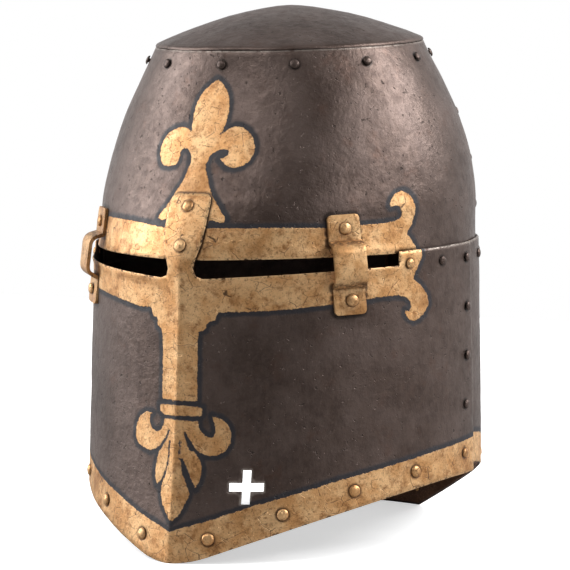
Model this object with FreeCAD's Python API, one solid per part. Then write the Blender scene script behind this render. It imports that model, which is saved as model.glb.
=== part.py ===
# Great helm with a keeled face, in five riveted plates, with a hung leather liner and a buckled chin strap.
# Sizes in millimetres. +Z up, the keel faces -Y, +X is the wearer's left. It is drawn with the keel's tip at height 0
# and the widest point near y = 0, then moved so that the origin lies on the floor under the middle of the whole.
import FreeCAD, Part
import math
import os

V = FreeCAD.Vector
os.makedirs("parts", exist_ok=True)

# Outer skin of the outermost plate: (height, reach) up the keel, up the widest side and up the back.
keel_profile = [(-8, 161), (18, 156.8), (55, 150.5), (100, 145.6), (150, 141.8), (176, 141), (188, 142.4),
                (200, 141), (224, 131), (243, 119.3), (262, 108), (282, 98.8), (302, 91.3), (326, 85.5), (362, 80)]
side_profile = [(-8, 132), (60, 132.5), (150, 131), (200, 129.6), (246, 124.5), (276, 116), (301, 104.6),
                (326, 92), (362, 80)]
back_share = 0.925         # back reach to half width
centre_profile = [(-8, 0.6), (190, 4), (250, 6.5), (362, 6.5)]
low_heights = [-8, 55, 115, 176, 188, 200, 221, 241]
high_heights = [176, 188, 200, 221, 241, 261, 282, 305, 334]
front_flats = 10           # each arc of the front is drawn as flats, this many to a side
front_step = 8             # degrees that each flat turns
back_flats = 16

# Plates
plate = 1.8                # sheet thickness
sheet_gap = 0.2            # between two lapped sheets
crown_rise = 25.2          # the crown's middle above the rim plane
rim_at_keel = 321.5        # rim height over the keel
rim_tilt = 2.5             # rim plane rises to the back, degrees
crown_flange = 16          # turned-down edge of the crown
dome_steps = [(0.975, 0.13), (0.86, 0.36), (0.62, 0.7), (0.32, 0.93), (0.04, 1)]
seam_top = 194             # top edge of the face plate
back_seam_top = 196.5      # top edge of the lower back plate
seam_lap = 18              # upper plates run down behind the lower ones by this
side_lap = 22              # front plates run back over the back ones by this
face_rear = 13             # rear edge of the face plate, behind the widest point
brow_rear = 76             # rear edge of the brow plate

# Lower edges
hem_slope = 0.375          # front edge, seen from the front: a V with a rounded point
hem_point_radius = 72
hem_side = 50              # height of the lower edge at the sides of the back plate
foot_half = 42             # half length of the flat that the back stands on

# Sight
slit_end = 115             # outer end, measured across from the keel
slit_root_low = 179        # lower edge by the keel
slit_end_low = 185         # lower edge at the outer end
slit_root_high = 190.5     # upper edge by the keel
slit_end_high = 192.5      # upper edge at the outer end
nasal_half = 9.3           # half width of the bar between the slits
nasal_round = 6            # round inner end of each slit
tab_half = 15              # half width of the nasal tab over the brow
tab_top = 232
tab_round = 6

# Cross cut through the face plate, on the wearer's left only
cross_along = 47.3         # along the skin from the keel
cross_height = 48.4
cross_span = 22.2
cross_rise = 21.4
cross_bar = 5.4

# Sight bridges
bridge_along = 108.2       # along the skin from the keel, at the bridge's middle
bridge_drop = 6.8          # the bridge's middle below the seam edge
bridge_length = 62.5
bridge_width = 20.5
bridge_sheet = 2.4
bridge_lean = 6.6          # degrees, foot further from the keel
bridge_hump = 25           # length of the raised middle
bridge_ramp = 4.5          # each end of the hump
bridge_stand = 8           # hump above the plates
bridge_corner = 3
bridge_rivet_out = 22.3    # rivets up and down from the middle

# Rivets: head radius, head height, shank radius, flats round the head
gilt_rivet = (4.0, 2.2, 1.5, 8)
dark_rivet = (3.2, 1.8, 1.5, 6)
liner_rivet = (3.5, 1.2, 1.2, 6)
head_top = 0.55            # flat on top of a head, as a share of it
hole_play = 0.05
seat = 0.06                # head clear of the curved skin
tail_proud = 0.8
rim_rivet_count = 12
rim_rivet_drop = 9
seam_rivet_height = 186
seam_rivet_first = 155.1
seam_rivet_pitch = 31
seam_rivets_behind = 5     # on each side, behind the side column
side_rivet_pitch = 31.9
side_rivet_along = 215.5
upper_side_rivets = [217, 248, 279, 304]
hem_rivet_rise = 11.5
hem_rivet_first = 25.3
hem_rivet_pitch = 46.2
back_hem_pitch = 43.5
nasal_rivet_heights = [224.5, 200.5]

# Hem strips of leather inside the lower edge
strip_thick = 2
strip_low = 2
strip_high = 20

# Liner
band_half_width = 78
band_front_room = 8        # between the headband and the keel's inside
band_thick = 2.5
band_low = 224
band_high = 262
oval_flats = 22
hanger_width = 22
hanger_thick = 2
hanger_rise = 4.5          # above its rim rivet
hanger_foot = 236          # lower end of each hanger on the band
hanger_clear = 2.6         # a flat hanger's middle stands off the curved flange
liner_rivet_height = 250
cap_thick = 2
cap_low = 240
cap_root = 264             # the tongues part above this
cap_slot = 9
lace_ring = 24
lace_radius = 1.5
lace_height = 306
tunnel_wall = 1.6
tunnel_play = 0.35
tunnel_half_angle = 15
lace_flats = 12
cap_turn = 80              # how far the tongues bend over, degrees

# Chin strap
strap_width = 20
chin_thick = 2.5
strap_top = 256
strap_rivet_heights = [250, 232]
strap_left_end = 110       # height of the buckle's bar
strap_fold = 34            # folded back length
strap_right_end = 66
strap_hole_radius = 2
strap_hole_pitch = 14
strap_holes = 5
bar_radius = 2
bar_play = 0.06
buckle_span = 30           # inside width of the frame
buckle_drop = 24           # bar to far rail, centre to centre
tongue_radius = 1.4
tongue_wall = 1.5
tongue_half = 2
keeper_low = 122
keeper_height = 8
keeper_thick = 1.6

lap = plate + sheet_gap
rim_slope = math.tan(math.radians(rim_tilt))

# Insets of each plate's outer skin in laps: (front, side, back) below the seam and above it
face_layer = ((0, 0, 0), (0, 0, 0))
lower_back_layer = ((1, 1, 1), (1, 1, 1))
brow_layer = ((1, 2, 2), (1, 1, 1))
upper_back_layer = ((2, 3.3, 2.7), (2, 2.3, 1.9))
crown_layer = ((2, 3.35, 3), (2, 3.35, 3))
front_strip_layer = ((1, 1, 1), (1, 1, 1))
back_strip_layer = ((2, 2, 2), (2, 2, 2))
spread_from = 199
spread_to = 228


def along(profile, height):
    # smooth curve through the profile's points
    last = len(profile) - 1
    i = 0
    while i < last - 1 and height > profile[i + 1][0]:
        i += 1
    slopes = []
    for j in (i, i + 1):
        a = profile[max(j - 1, 0)]
        b = profile[min(j + 1, last)]
        slopes.append((b[1] - a[1]) / (b[0] - a[0]))
    z0, r0 = profile[i]
    z1, r1 = profile[i + 1]
    step = z1 - z0
    t = min(max((height - z0) / step, 0), 1)
    return (r0 * (1 + 2 * t) * (1 - t) ** 2 + slopes[0] * step * t * (1 - t) ** 2
            + r1 * t * t * (3 - 2 * t) + slopes[1] * step * t * t * (t - 1))


def inset_at(layer, height, extra):
    t = min(max((height - spread_from) / (spread_to - spread_from), 0), 1)
    t = t * t * (3 - 2 * t)
    below, above = layer
    return [lap * (below[i] + (above[i] - below[i]) * t) + extra for i in range(3)]


def section_points(layer, height, extra):
    # from the keel round the left side to the middle of the back: an arc, then a quarter of an ellipse
    front, side, back = inset_at(layer, height, extra)
    centre = along(centre_profile, height)
    widest = along(side_profile, height)
    width = widest - side
    keel = -(along(keel_profile, height) - front)
    length = centre - keel
    radius = (width ** 2 + length ** 2) / (2 * width)
    points = [V(0, keel, height)]
    for k in range(front_flats - 1, -1, -1):
        turn = math.radians(front_step * k)
        points.append(V(width - radius + radius * math.cos(turn), centre - radius * math.sin(turn), height))
    depth = widest * back_share - back
    for k in range(1, back_flats // 2 + 1):
        turn = math.pi * k / back_flats
        points.append(V(width * math.cos(turn), centre + depth * math.sin(turn), height))
    points[-1] = V(0, centre + depth, height)
    return points


def ring(layer, height, extra):
    half = section_points(layer, height, extra)
    return half + [V(-p.x, p.y, p.z) for p in reversed(half[1:-1])]


def panels(rings):
    # solid through rings of as many points each: flat panels from ring to ring, halved where they would twist
    faces = []
    for low, high in zip(rings, rings[1:]):
        for k in range(len(low)):
            a, b, c, d = low[k - 1], low[k], high[k], high[k - 1]
            twist = (c - a).cross(b - a).dot(d - a)
            corners = [(a, b, c, d)] if abs(twist) < 1e-6 else [(a, b, c), (a, c, d)]
            faces.extend(Part.Face(Part.makePolygon(list(p) + [p[0]])) for p in corners)
    for end in (rings[0], rings[-1]):
        faces.append(Part.Face(Part.makePolygon(end + end[:1])))
    return Part.Solid(Part.Shell(faces))


def skin(layer, heights, extra=0):
    return panels([ring(layer, height, extra) for height in heights])


def sheet(layer, heights, thickness):
    return skin(layer, heights).cut(skin(layer, heights, thickness))


def polygon(sides, radius, height):
    turns = [math.tau * k / sides for k in range(sides)]
    return [V(radius * math.cos(turn), radius * math.sin(turn), height) for turn in turns]


def flat(points):
    return Part.Face(Part.makePolygon(points + points[:1]))


def prism_xz(points, y_from, y_to):
    return flat([V(x, y_from, z) for x, z in points]).extrude(V(0, y_to - y_from, 0))


def prism_yz(points, x_half):
    return flat([V(-x_half, y, z) for y, z in points]).extrude(V(2 * x_half, 0, 0))


def mirrored(shape):
    return shape.mirror(V(0, 0, 0), V(1, 0, 0))


# The front hem is a V in front view; the point is an arc that both sides run into
hem_lean = math.atan(hem_slope)
hem_tangent_x = hem_point_radius * math.sin(hem_lean)
hem_tangent_z = hem_point_radius * (1 - math.cos(hem_lean))


def front_hem(x):
    if abs(x) < hem_tangent_x:
        return hem_point_radius - math.sqrt(hem_point_radius ** 2 - x * x)
    return hem_tangent_z + hem_slope * (abs(x) - hem_tangent_x)


def back_hem(x):
    rise = hem_side / (side_profile[1][1] - foot_half)
    return max(0, (abs(x) - foot_half) * rise)


far = 170
sky = 700


def front_hem_edges(rise):
    # from the far right round the point to the far left
    p = V(far, -far * 2, front_hem(far) + rise)
    q = V(hem_tangent_x, -far * 2, hem_tangent_z + rise)
    edges = [Part.makeLine(p, q)]
    edges.append(Part.Arc(q, V(0, -far * 2, rise), V(-q.x, q.y, q.z)).toShape())
    edges.append(Part.makeLine(V(-q.x, q.y, q.z), V(-p.x, p.y, p.z)))
    return edges


def front_region():
    # outline of the face plate in front view: hem, seam edge, slits' lower edges and the nasal tab
    y = -far * 2
    corner = nasal_round * math.sin(math.pi / 4)
    root_x = nasal_half + nasal_round
    root_z = slit_root_low + nasal_round
    lines = [(far, front_hem(far)), (far, seam_top), (slit_end, seam_top), (slit_end, slit_end_low),
             (root_x, slit_root_low)]
    half = [Part.makeLine(V(a[0], y, a[1]), V(b[0], y, b[1])) for a, b in zip(lines, lines[1:])]
    half.append(Part.Arc(V(root_x, y, slit_root_low), V(root_x - corner, y, root_z - corner),
                         V(nasal_half, y, root_z)).toShape())
    neck = [V(nasal_half, y, root_z), V(nasal_half + 1.8, y, slit_root_high + 1.5),
            V(tab_half - 0.8, y, slit_root_high + 11), V(tab_half, y, tab_top - tab_round)]
    curve = Part.BSplineCurve()
    curve.interpolate(neck)
    half.append(curve.toShape())
    corner = tab_round * math.sin(math.pi / 4)
    half.append(Part.Arc(neck[-1], V(tab_half - tab_round + corner, y, tab_top - tab_round + corner),
                         V(tab_half - tab_round, y, tab_top)).toShape())
    half.append(Part.makeLine(V(tab_half - tab_round, y, tab_top), V(0, y, tab_top)))
    other = [mirrored(e) for e in half]
    wire = Part.Wire(Part.__sortEdges__(half + other + front_hem_edges(0)))
    return Part.Face(wire).extrude(V(0, face_rear - y, 0))


rim_keel_reach = along(keel_profile, rim_at_keel)


def rim_height(y):
    return rim_at_keel + (y + rim_keel_reach) * rim_slope


def above_rim(drop):
    # everything above the rim plane lowered by drop
    low = [(-far, rim_height(-far) - drop), (far, rim_height(far) - drop)]
    return prism_yz(low + [(far, sky), (-far, sky)], far)


# Face plate: keeled, with the lower edges of both slits and the tab that laps over the brow
face = sheet(face_layer, low_heights, plate).common(front_region())
face_skin = skin(face_layer, low_heights)

# Lower back plate
back_top = [(-far, back_seam_top), (far, back_seam_top)]
back_low = [(far, back_hem(far)), (foot_half, 0), (-foot_half, 0), (-far, back_hem(far))]
lower_back = sheet(lower_back_layer, low_heights[:6], plate).common(prism_xz(back_top + back_low, face_rear - side_lap, far))
lower_back_skin = skin(lower_back_layer, low_heights[:6])

# Brow plate: its lower edge is the upper edge of both slits, and behind the face plate it runs further down
behind_seam = seam_top - seam_lap
step_x = slit_end + 4
brow_low = [(-far, behind_seam), (-step_x, behind_seam), (-step_x, slit_end_high), (0, slit_root_high),
            (step_x, slit_end_high), (step_x, behind_seam), (far, behind_seam), (far, sky), (-far, sky)]
brow = sheet(brow_layer, high_heights, plate).common(prism_xz(brow_low, -2 * far, brow_rear)).cut(above_rim(0))
brow_skin = skin(brow_layer, high_heights)

# Upper back plate, inside the brow plate at the sides
upper_low = [(-far, behind_seam), (far, behind_seam), (far, sky), (-far, sky)]
upper_back = sheet(upper_back_layer, high_heights, plate).common(prism_xz(upper_low, brow_rear - side_lap, far))
upper_back = upper_back.cut(above_rim(0))
upper_back_skin = skin(upper_back_layer, high_heights)


# Crown plate: a low dome with its edge turned down inside the upper plates
def rim_ring(drop, extra):
    # where the flange's skin meets the rim plane lowered by drop
    made = []
    for k in range(len(ring(crown_layer, rim_at_keel, extra))):
        height = rim_at_keel
        for turn in range(4):
            p = ring(crown_layer, height, extra)[k]
            height = rim_height(p.y) - drop
        made.append(V(p.x, p.y, height))
    return made


def crown_solid(extra, drop):
    rings = [rim_ring(drop, extra), rim_ring(0, extra)]
    tilt = math.radians(rim_tilt)
    up = V(0, -math.sin(tilt), math.cos(tilt))
    middle = V(0, along(centre_profile, rim_at_keel), 0)
    middle.z = rim_height(middle.y)
    rise = crown_rise - extra
    for share, lift in dome_steps:
        rings.append([middle + (p - middle) * share + up * (rise * lift) for p in rings[1]])
    return panels(rings)


crown = crown_solid(0, crown_flange).cut(crown_solid(plate, crown_flange + 2))

# Hem strips
strip_face = Part.Face(Part.Wire(Part.__sortEdges__(
    front_hem_edges(strip_low) + front_hem_edges(strip_high)
    + [Part.makeLine(V(s * far, -2 * far, front_hem(far) + strip_low), V(s * far, -2 * far, front_hem(far) + strip_high))
       for s in (1, -1)])))
front_strip = sheet(front_strip_layer, low_heights[:4], strip_thick)
front_strip = front_strip.common(strip_face.extrude(V(0, 2 * far + face_rear - side_lap - 0.6, 0)))
low_line = [(x, z + strip_low) for x, z in back_low]
high_line = [(x, z + strip_high) for x, z in reversed(back_low)]
back_strip = sheet(back_strip_layer, low_heights[:4], strip_thick).common(prism_xz(low_line + high_line, face_rear - side_lap, far))


def round_length(height):
    # half way round the outermost skin, from the keel to the middle of the back
    points = section_points(face_layer, height, 0)
    return sum((b - a).Length for a, b in zip(points, points[1:]))


def on_skin(solid, along_skin, height):
    # point of a skin at a distance round from the keel, and the way out of it; minus is the wearer's right
    points = section_points(face_layer, height, 0)
    left = min(abs(along_skin), round_length(height) - 0.01)
    for a, b in zip(points, points[1:]):
        if left <= (b - a).Length:
            break
        left -= (b - a).Length
    run = b - a
    point = a + run * (left / run.Length)
    outward = V(run.y, -run.x, 0)
    if along_skin == 0:
        outward = V(0, -1, 0)
    if abs(along_skin) > round_length(height) - 0.02:
        outward = V(0, 1, 0)
    outward.normalize()
    side = 1 if along_skin >= 0 else -1
    probe = point + outward * 8
    probe = V(side * probe.x, probe.y, probe.z)
    shell = solid.Shells[0]
    for turn in range(4):
        near = shell.distToShape(Part.Vertex(probe))[1][0][0]
        probe.z += height - near.z
    out = probe - near
    out.normalize()
    return near, out


def turned(shape, point, out, up=V(0, 0, 1)):
    # from a local frame with x across, y up the plate and z outward
    across = up.cross(out)
    if across.Length < 1e-6:
        across = V(1, 0, 0)
    across.normalize()
    rise = out.cross(across)
    matrix = FreeCAD.Matrix(across.x, rise.x, out.x, point.x, across.y, rise.y, out.y, point.y,
                            across.z, rise.z, out.z, point.z, 0, 0, 0, 1)
    return shape.transformGeometry(matrix) if shape.ShapeType == "Compound" else shape.transformed(matrix)


# Cross cut-out
place, out = on_skin(face_skin, cross_along, cross_height)
tall = Part.makeBox(cross_bar, cross_rise, 20, V(-cross_bar / 2, -cross_rise / 2, -10))
wide = Part.makeBox(cross_span, cross_bar, 20, V(-cross_span / 2, -cross_bar / 2, -10))
face = face.cut(turned(tall.fuse(wide).removeSplitter(), place, out))

bridge_height = seam_top - bridge_drop

# Sight bridges: a strap over each slit, flat on the brow plate and on the face plate, raised between
bridge_spots = []
half_length = bridge_length / 2
half_hump = bridge_hump / 2
for reach, base in ((half_length, brow_skin), (half_hump, brow_skin), (-half_hump, face_skin), (-half_length, face_skin)):
    lean = math.tan(math.radians(bridge_lean))
    bridge_spots.append(on_skin(base, bridge_along - reach * lean, bridge_height + reach)[0])
middle, bridge_out = on_skin(face_skin, bridge_along, bridge_height - half_hump)
bridge_out = V(bridge_out.x, bridge_out.y, 0)
bridge_out.normalize()
bridge_rise = (bridge_spots[0] - bridge_spots[3])
bridge_rise = bridge_rise - bridge_out * bridge_rise.dot(bridge_out)
bridge_rise.normalize()
bridge_centre = (bridge_spots[1] + bridge_spots[2]) * 0.5
stand = [(p - bridge_centre).dot(bridge_out) + sheet_gap for p in bridge_spots]
reach = [(p - bridge_centre).dot(bridge_rise) for p in bridge_spots]
crest = max(stand[1], stand[2]) + bridge_stand
under = [(reach[0], stand[0]), (reach[1], stand[1]), (reach[1] - bridge_ramp, crest), (reach[2] + bridge_ramp, crest),
         (reach[2], stand[2]), (reach[3], stand[3])]
line = Part.makePolygon([V(0, u, v) for u, v in under])
profile = line.makeOffset2D(bridge_sheet, join=2, fill=True, openResult=True)
if profile.CenterOfMass.z < line.CenterOfMass.z:
    profile = line.makeOffset2D(-bridge_sheet, join=2, fill=True, openResult=True)
profile.translate(V(-bridge_width / 2, 0, 0))
bridge = profile.extrude(V(bridge_width, 0, 0))
blank = Part.makeBox(bridge_width, reach[0] - reach[3], 60, V(-bridge_width / 2, reach[3], -30))
blank = blank.makeFillet(bridge_corner, [e for e in blank.Edges if abs(e.tangentAt(0).z) > 0.9])
bridge = turned(bridge.common(blank).Solids[0], bridge_centre, bridge_out, bridge_rise)


# Rivets: heads forged in eight flats on square shanks, which fill square holes
def rivet(point, out, depth, kind):
    # head on the skin, shank through every layer, tail proud of the inner face
    head, height, shank, sides = kind
    solid = panels([polygon(sides, head, seat), polygon(sides, head * head_top, height)])
    body = flat(polygon(4, shank, -depth - tail_proud)).extrude(V(0, 0, depth + tail_proud + height / 2))
    return turned(solid.fuse(body).Solids[0], point, out)


def drill_for(point, out, depth, kind):
    body = flat(polygon(4, kind[2] + hole_play, -depth - 4)).extrude(V(0, 0, depth + 8))
    return turned(body, point, out)


def depth_through(point, out, sheets, reach=16):
    # how far in the last layer's inner face lies
    probe = Part.makeLine(point + out * 2, point - out * reach)
    deepest = 0
    for s in sheets:
        inside = probe.common(s)
        for vertex in inside.Vertexes:
            deepest = max(deepest, (point - vertex.Point).dot(out))
    return deepest


sheets = {"face_plate": face, "lower_back_plate": lower_back, "brow_plate": brow, "upper_back_plate": upper_back,
          "crown_plate": crown, "hem_strip_front": front_strip, "hem_strip_back": back_strip,
          "sight_bridge_left": bridge, "sight_bridge_right": mirrored(bridge)}
holes = {name: [] for name in sheets}
rivets = {}


def fasten(node, point, out, kind, layers, both=True):
    # sets one rivet, and its mirror image, and books its hole in each layer
    depth = depth_through(point, out, [sheets[name] for name in layers])
    made = [rivet(point, out, depth, kind)]
    drill = [drill_for(point, out, depth, kind)]
    if both:
        made.append(mirrored(made[0]))
        drill.append(mirrored(drill[0]))
    rivets.setdefault(node, []).extend(made)
    for name in layers:
        holes[name].extend(drill)
    return depth


# Seam between face plate and brow plate, and on round the back
for k in range(2):
    spot = on_skin(face_skin, seam_rivet_first + k * (side_rivet_along - seam_rivet_first) / 2, seam_rivet_height)
    fasten("seam_rivets_front", *spot, gilt_rivet, ["face_plate", "brow_plate"])
half_round = round_length(seam_rivet_height)
back_pitch = (half_round - side_rivet_along) / (seam_rivets_behind + 0.5)
for k in range(seam_rivets_behind):
    s = side_rivet_along + (k + 1) * back_pitch
    spot = on_skin(lower_back_skin, s, seam_rivet_height)
    layers = ["lower_back_plate"]
    if spot[0].y < brow_rear - 4:
        layers.append("brow_plate")
    if spot[0].y > brow_rear - side_lap + 4:
        layers.append("upper_back_plate")
    fasten("seam_rivets_back", *spot, gilt_rivet, layers)

# Side columns: the top rivet is in the seam and the lowest in the hem
for k in range(5):
    layers = ["face_plate", "lower_back_plate"]
    if k == 0:
        layers.append("brow_plate")
    if k == 4:
        layers.append("hem_strip_back")
    spot = on_skin(face_skin, side_rivet_along, seam_rivet_height - k * side_rivet_pitch)
    fasten("side_seam_rivets", *spot, gilt_rivet, layers)

# Upper side seams
for height in upper_side_rivets:
    s = side_rivet_along
    for turn in range(8):
        spot = on_skin(brow_skin, s, height)
        s += (brow_rear - side_lap / 2 - spot[0].y)
    fasten("upper_side_rivets", *spot, dark_rivet, ["brow_plate", "upper_back_plate"])

# Rim: evenly spaced round the crown's flange, the first on the keel
rim_spots = []
for k in range(rim_rivet_count // 2 + 1):
    height = rim_height(0) - rim_rivet_drop
    for turn in range(3):
        spot = on_skin(brow_skin, round_length(height) * 2 * k / rim_rivet_count, height)
        height = rim_height(spot[0].y) - rim_rivet_drop
    base, name = (brow_skin, "brow_plate") if spot[0].y < brow_rear - 4 else (upper_back_skin, "upper_back_plate")
    spot = on_skin(base, round_length(height) * 2 * k / rim_rivet_count, height)
    rim_spots.append((spot, name))

# Front and back hem
for k in range(4):
    s = hem_rivet_first + k * hem_rivet_pitch
    spot = on_skin(face_skin, s, front_hem(s) + hem_rivet_rise)
    spot = on_skin(face_skin, s, front_hem(spot[0].x) + hem_rivet_rise)
    fasten("hem_rivets_front", *spot, gilt_rivet, ["face_plate", "hem_strip_front"])
for k in range(4):
    s = round_length(back_hem(0) + hem_rivet_rise) - k * back_hem_pitch
    height = hem_rivet_rise
    for turn in range(3):
        spot = on_skin(lower_back_skin, min(s, round_length(height) - 0.01), height)
        height = back_hem(spot[0].x) + hem_rivet_rise
        s = round_length(height) - k * back_hem_pitch
    fasten("hem_rivets_back", *spot, gilt_rivet, ["lower_back_plate", "hem_strip_back"], both=k > 0)

# Nasal tab
for height in nasal_rivet_heights:
    spot = on_skin(face_skin, 0, height)
    fasten("nasal_rivets", *spot, dark_rivet, ["face_plate", "brow_plate"], both=False)

# Bridges
for up, base in ((1, "brow_plate"), (-1, "face_plate")):
    skin_used = brow_skin if up > 0 else face_skin
    lean = math.tan(math.radians(bridge_lean))
    spot, out = on_skin(skin_used, bridge_along - up * bridge_rivet_out * lean, bridge_height + up * bridge_rivet_out)
    ends = (1, 0) if up > 0 else (2, 3)
    rise = reach[ends[1]] - reach[ends[0]]
    tab_way = V(0, -(stand[ends[1]] - stand[ends[0]]), rise) * (1 if rise > 0 else -1)
    across = bridge_rise.cross(bridge_out)
    tab_out = bridge_rise * tab_way.y + bridge_out * tab_way.z
    tab_out.normalize()
    top = spot + tab_out * (sheet_gap + bridge_sheet)
    probe = Part.makeLine(top + tab_out * 6, spot)
    hits = [v.Point for v in probe.common(bridge).Vertexes]
    top = max(hits, key=lambda p: p.dot(tab_out))
    depth = depth_through(top, tab_out, [sheets[base]])
    made = rivet(top, tab_out, depth, dark_rivet)
    drill = drill_for(top, tab_out, depth, dark_rivet)
    rivets.setdefault("bridge_rivets_left", []).append(made)
    rivets.setdefault("bridge_rivets_right", []).append(mirrored(made))
    holes[base].extend([drill, mirrored(drill)])
    holes["sight_bridge_left"].append(drill)
    holes["sight_bridge_right"].append(mirrored(drill))


# Liner: headband, hangers from every second rim rivet, and a cap of six tongues drawn in by a lace
band_half_depth = along(keel_profile, band_high) - plate - sheet_gap - band_front_room


def oval(half_width, half_depth, height):
    turns = [math.tau * (k + 0.5) / oval_flats for k in range(oval_flats)]
    return [V(half_width * math.sin(turn), -half_depth * math.cos(turn), height) for turn in turns]


def oval_tube(half_width, half_depth, low, high, wall):
    outer = panels([oval(half_width, half_depth, z) for z in (low, high)])
    return outer.cut(panels([oval(half_width - wall, half_depth - wall, z) for z in (low, high)]))


band = oval_tube(band_half_width, band_half_depth, band_low, band_high, band_thick)


def band_reach(bearing, aside=0):
    # how far out the band's outer face lies along a bearing from the keel, on a line that passes aside of the middle
    a = (math.sin(bearing) / band_half_width, -math.cos(bearing) / band_half_depth)
    b = (aside * math.cos(bearing) / band_half_width, aside * math.sin(bearing) / band_half_depth)
    square = a[0] ** 2 + a[1] ** 2
    half = a[0] * b[0] + a[1] * b[1]
    return (math.sqrt(half ** 2 - square * (b[0] ** 2 + b[1] ** 2 - 1)) - half) / square


def offset_inward(points, thickness):
    # a strip's side view: its outer line and its thickness towards smaller x
    line = Part.makePolygon(points)
    made = [line.makeOffset2D(d, join=2, fill=True, openResult=True) for d in (thickness, -thickness)]
    return min(made, key=lambda face: face.BoundBox.XMin)


hangers = []
hanger_feet = []
for k in range(0, rim_rivet_count // 2 + 1, 2):
    (point, out), name = rim_spots[k]
    bearing = math.atan2(point.x, -point.y)
    away = V(math.sin(bearing), -math.cos(bearing), 0)
    inside = depth_through(point, out, [sheets[name], sheets["crown_plate"]])
    start = point - out * (inside + hanger_clear)
    lean = out.z / out.dot(away)
    reach_start = start.dot(away)
    foot_reach = max(band_reach(bearing, aside * hanger_width / 2) for aside in (-1, 0, 1)) + sheet_gap + hanger_thick
    outline = [V(reach_start - hanger_rise * lean, start.z + hanger_rise, 0), V(reach_start + 8 * lean, start.z - 8, 0),
               V(foot_reach, band_high + 1, 0), V(foot_reach, hanger_foot, 0)]
    strip = offset_inward(outline, hanger_thick).extrude(V(0, 0, hanger_width))
    strip.translate(V(0, 0, -hanger_width / 2))
    tangent = V(away.y, -away.x, 0)
    strip = strip.transformed(FreeCAD.Matrix(away.x, 0, tangent.x, 0, away.y, 0, tangent.y, 0, 0, 1, 0, 0, 0, 0, 0, 1))
    both = 0 < k < rim_rivet_count // 2
    hangers.extend([strip, mirrored(strip)] if both else [strip])
    foot = away * foot_reach
    foot.z = liner_rivet_height
    hanger_feet.append((foot, away, both))

# Cap: an upright ring inside the band that parts into tongues, each with a tunnel for the lace at its tip
cap_width = band_half_width - band_thick - sheet_gap
cap_depth = band_half_depth - band_thick - sheet_gap


def cap_solid(extra):
    wires = [oval(cap_width - extra, cap_depth - extra, cap_low)]
    for k in range(4):
        turn = math.radians(cap_turn * k / 3)
        height = cap_root + (lace_height - extra - cap_root) * math.sin(turn) / math.sin(math.radians(cap_turn))
        narrow = (1 - math.cos(turn)) / (1 - math.cos(math.radians(cap_turn)))
        width = cap_width + (lace_ring - cap_width) * narrow - extra
        wires.append(oval(width, cap_depth + (lace_ring + 0.5 - cap_depth) * narrow - extra, height))
    return panels(wires)


cap = cap_solid(0).cut(cap_solid(cap_thick))
cap = cap.cut(flat(polygon(oval_flats, lace_ring, cap_root)).extrude(V(0, 0, sky)))
tunnel_inner = lace_radius + tunnel_play
tunnel_centre = V(0, 0, lace_height - cap_thick / 2)


def lace_tube(radius, start, stop, flats):
    # six-sided tube along part of the lace's ring
    rings = []
    for k in range(flats + 1):
        turn = math.radians(start + (stop - start) * k / flats)
        way = V(math.cos(turn), math.sin(turn), 0)
        rings.append([way * (lace_ring + p.x) + V(0, 0, tunnel_centre.z + p.y) for p in polygon(6, radius, 0)])
    return panels(rings)


half_lace = lace_tube(lace_radius, 0, 180, lace_flats)
lace = half_lace.fuse(lace_tube(lace_radius, 180, 360, lace_flats))
bore = lace_tube(tunnel_inner, 0, 180, lace_flats).fuse(lace_tube(tunnel_inner, 180, 360, lace_flats))
for k in range(6):
    start = 60 * k + 30
    cap = cap.fuse(lace_tube(tunnel_inner + tunnel_wall, start - tunnel_half_angle, start + tunnel_half_angle, 2))
for k in range(6):
    slot = Part.makeBox(120, cap_slot, 60, V(0, -cap_slot / 2, cap_root))
    slot.rotate(V(0, 0, 0), V(0, 0, 1), 60 * k)
    cap = cap.cut(slot)
cap = cap.cut(bore)

# Chin straps hang from the band's sides; the left one is folded round the buckle's bar
strap_face = band_half_width + sheet_gap
strap_out = strap_face + chin_thick
bar = V(strap_out + bar_radius + bar_play, 0, strap_left_end)
bend = bar_radius + bar_play
turn_end = math.radians(30)
leaves = V(bar.x + bend * math.cos(turn_end), 0, bar.z + bend * math.sin(turn_end))
meet_x = strap_out + sheet_gap
meets = V(meet_x, 0, leaves.z + (leaves.x - meet_x) / math.tan(turn_end))
fold_top = strap_left_end + strap_fold
inner_line = Part.Wire([
    Part.makeLine(V(strap_out, 0, strap_top), V(strap_out, 0, bar.z)),
    Part.Arc(V(strap_out, 0, bar.z), V(bar.x, 0, bar.z - bend), leaves).toShape(),
    Part.makeLine(leaves, meets),
    Part.makeLine(meets, V(meet_x, 0, fold_top))])
profile = inner_line.makeOffset2D(-chin_thick, join=2, fill=True, openResult=True)
chin_left = profile.extrude(V(0, strap_width, 0))
chin_left.translate(V(0, -strap_width / 2, 0))
tongue_outer = bar_radius + bar_play + tongue_wall
tongue_slot = Part.makeBox(30, 2 * tongue_half + 1.2, 15, V(strap_face - 2, -tongue_half - 0.6, bar.z - 5.5))
chin_left = chin_left.cut(tongue_slot)

point_length = strap_width / 2
tail = flat([V(-strap_out, -strap_width / 2, strap_top), V(-strap_out, strap_width / 2, strap_top),
                         V(-strap_out, strap_width / 2, strap_right_end + point_length),
                         V(-strap_out, strap_width / 6, strap_right_end),
                         V(-strap_out, -strap_width / 6, strap_right_end),
                         V(-strap_out, -strap_width / 2, strap_right_end + point_length)])
chin_right = tail.extrude(V(chin_thick, 0, 0))
for k in range(strap_holes):
    at = V(-strap_out - 2, 0, strap_right_end + 1.6 * point_length + k * strap_hole_pitch)
    punch = flat(polygon(8, strap_hole_radius, 0)).extrude(V(0, 0, chin_thick + 4))
    chin_right = chin_right.cut(turned(punch, at, V(1, 0, 0)))

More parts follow.
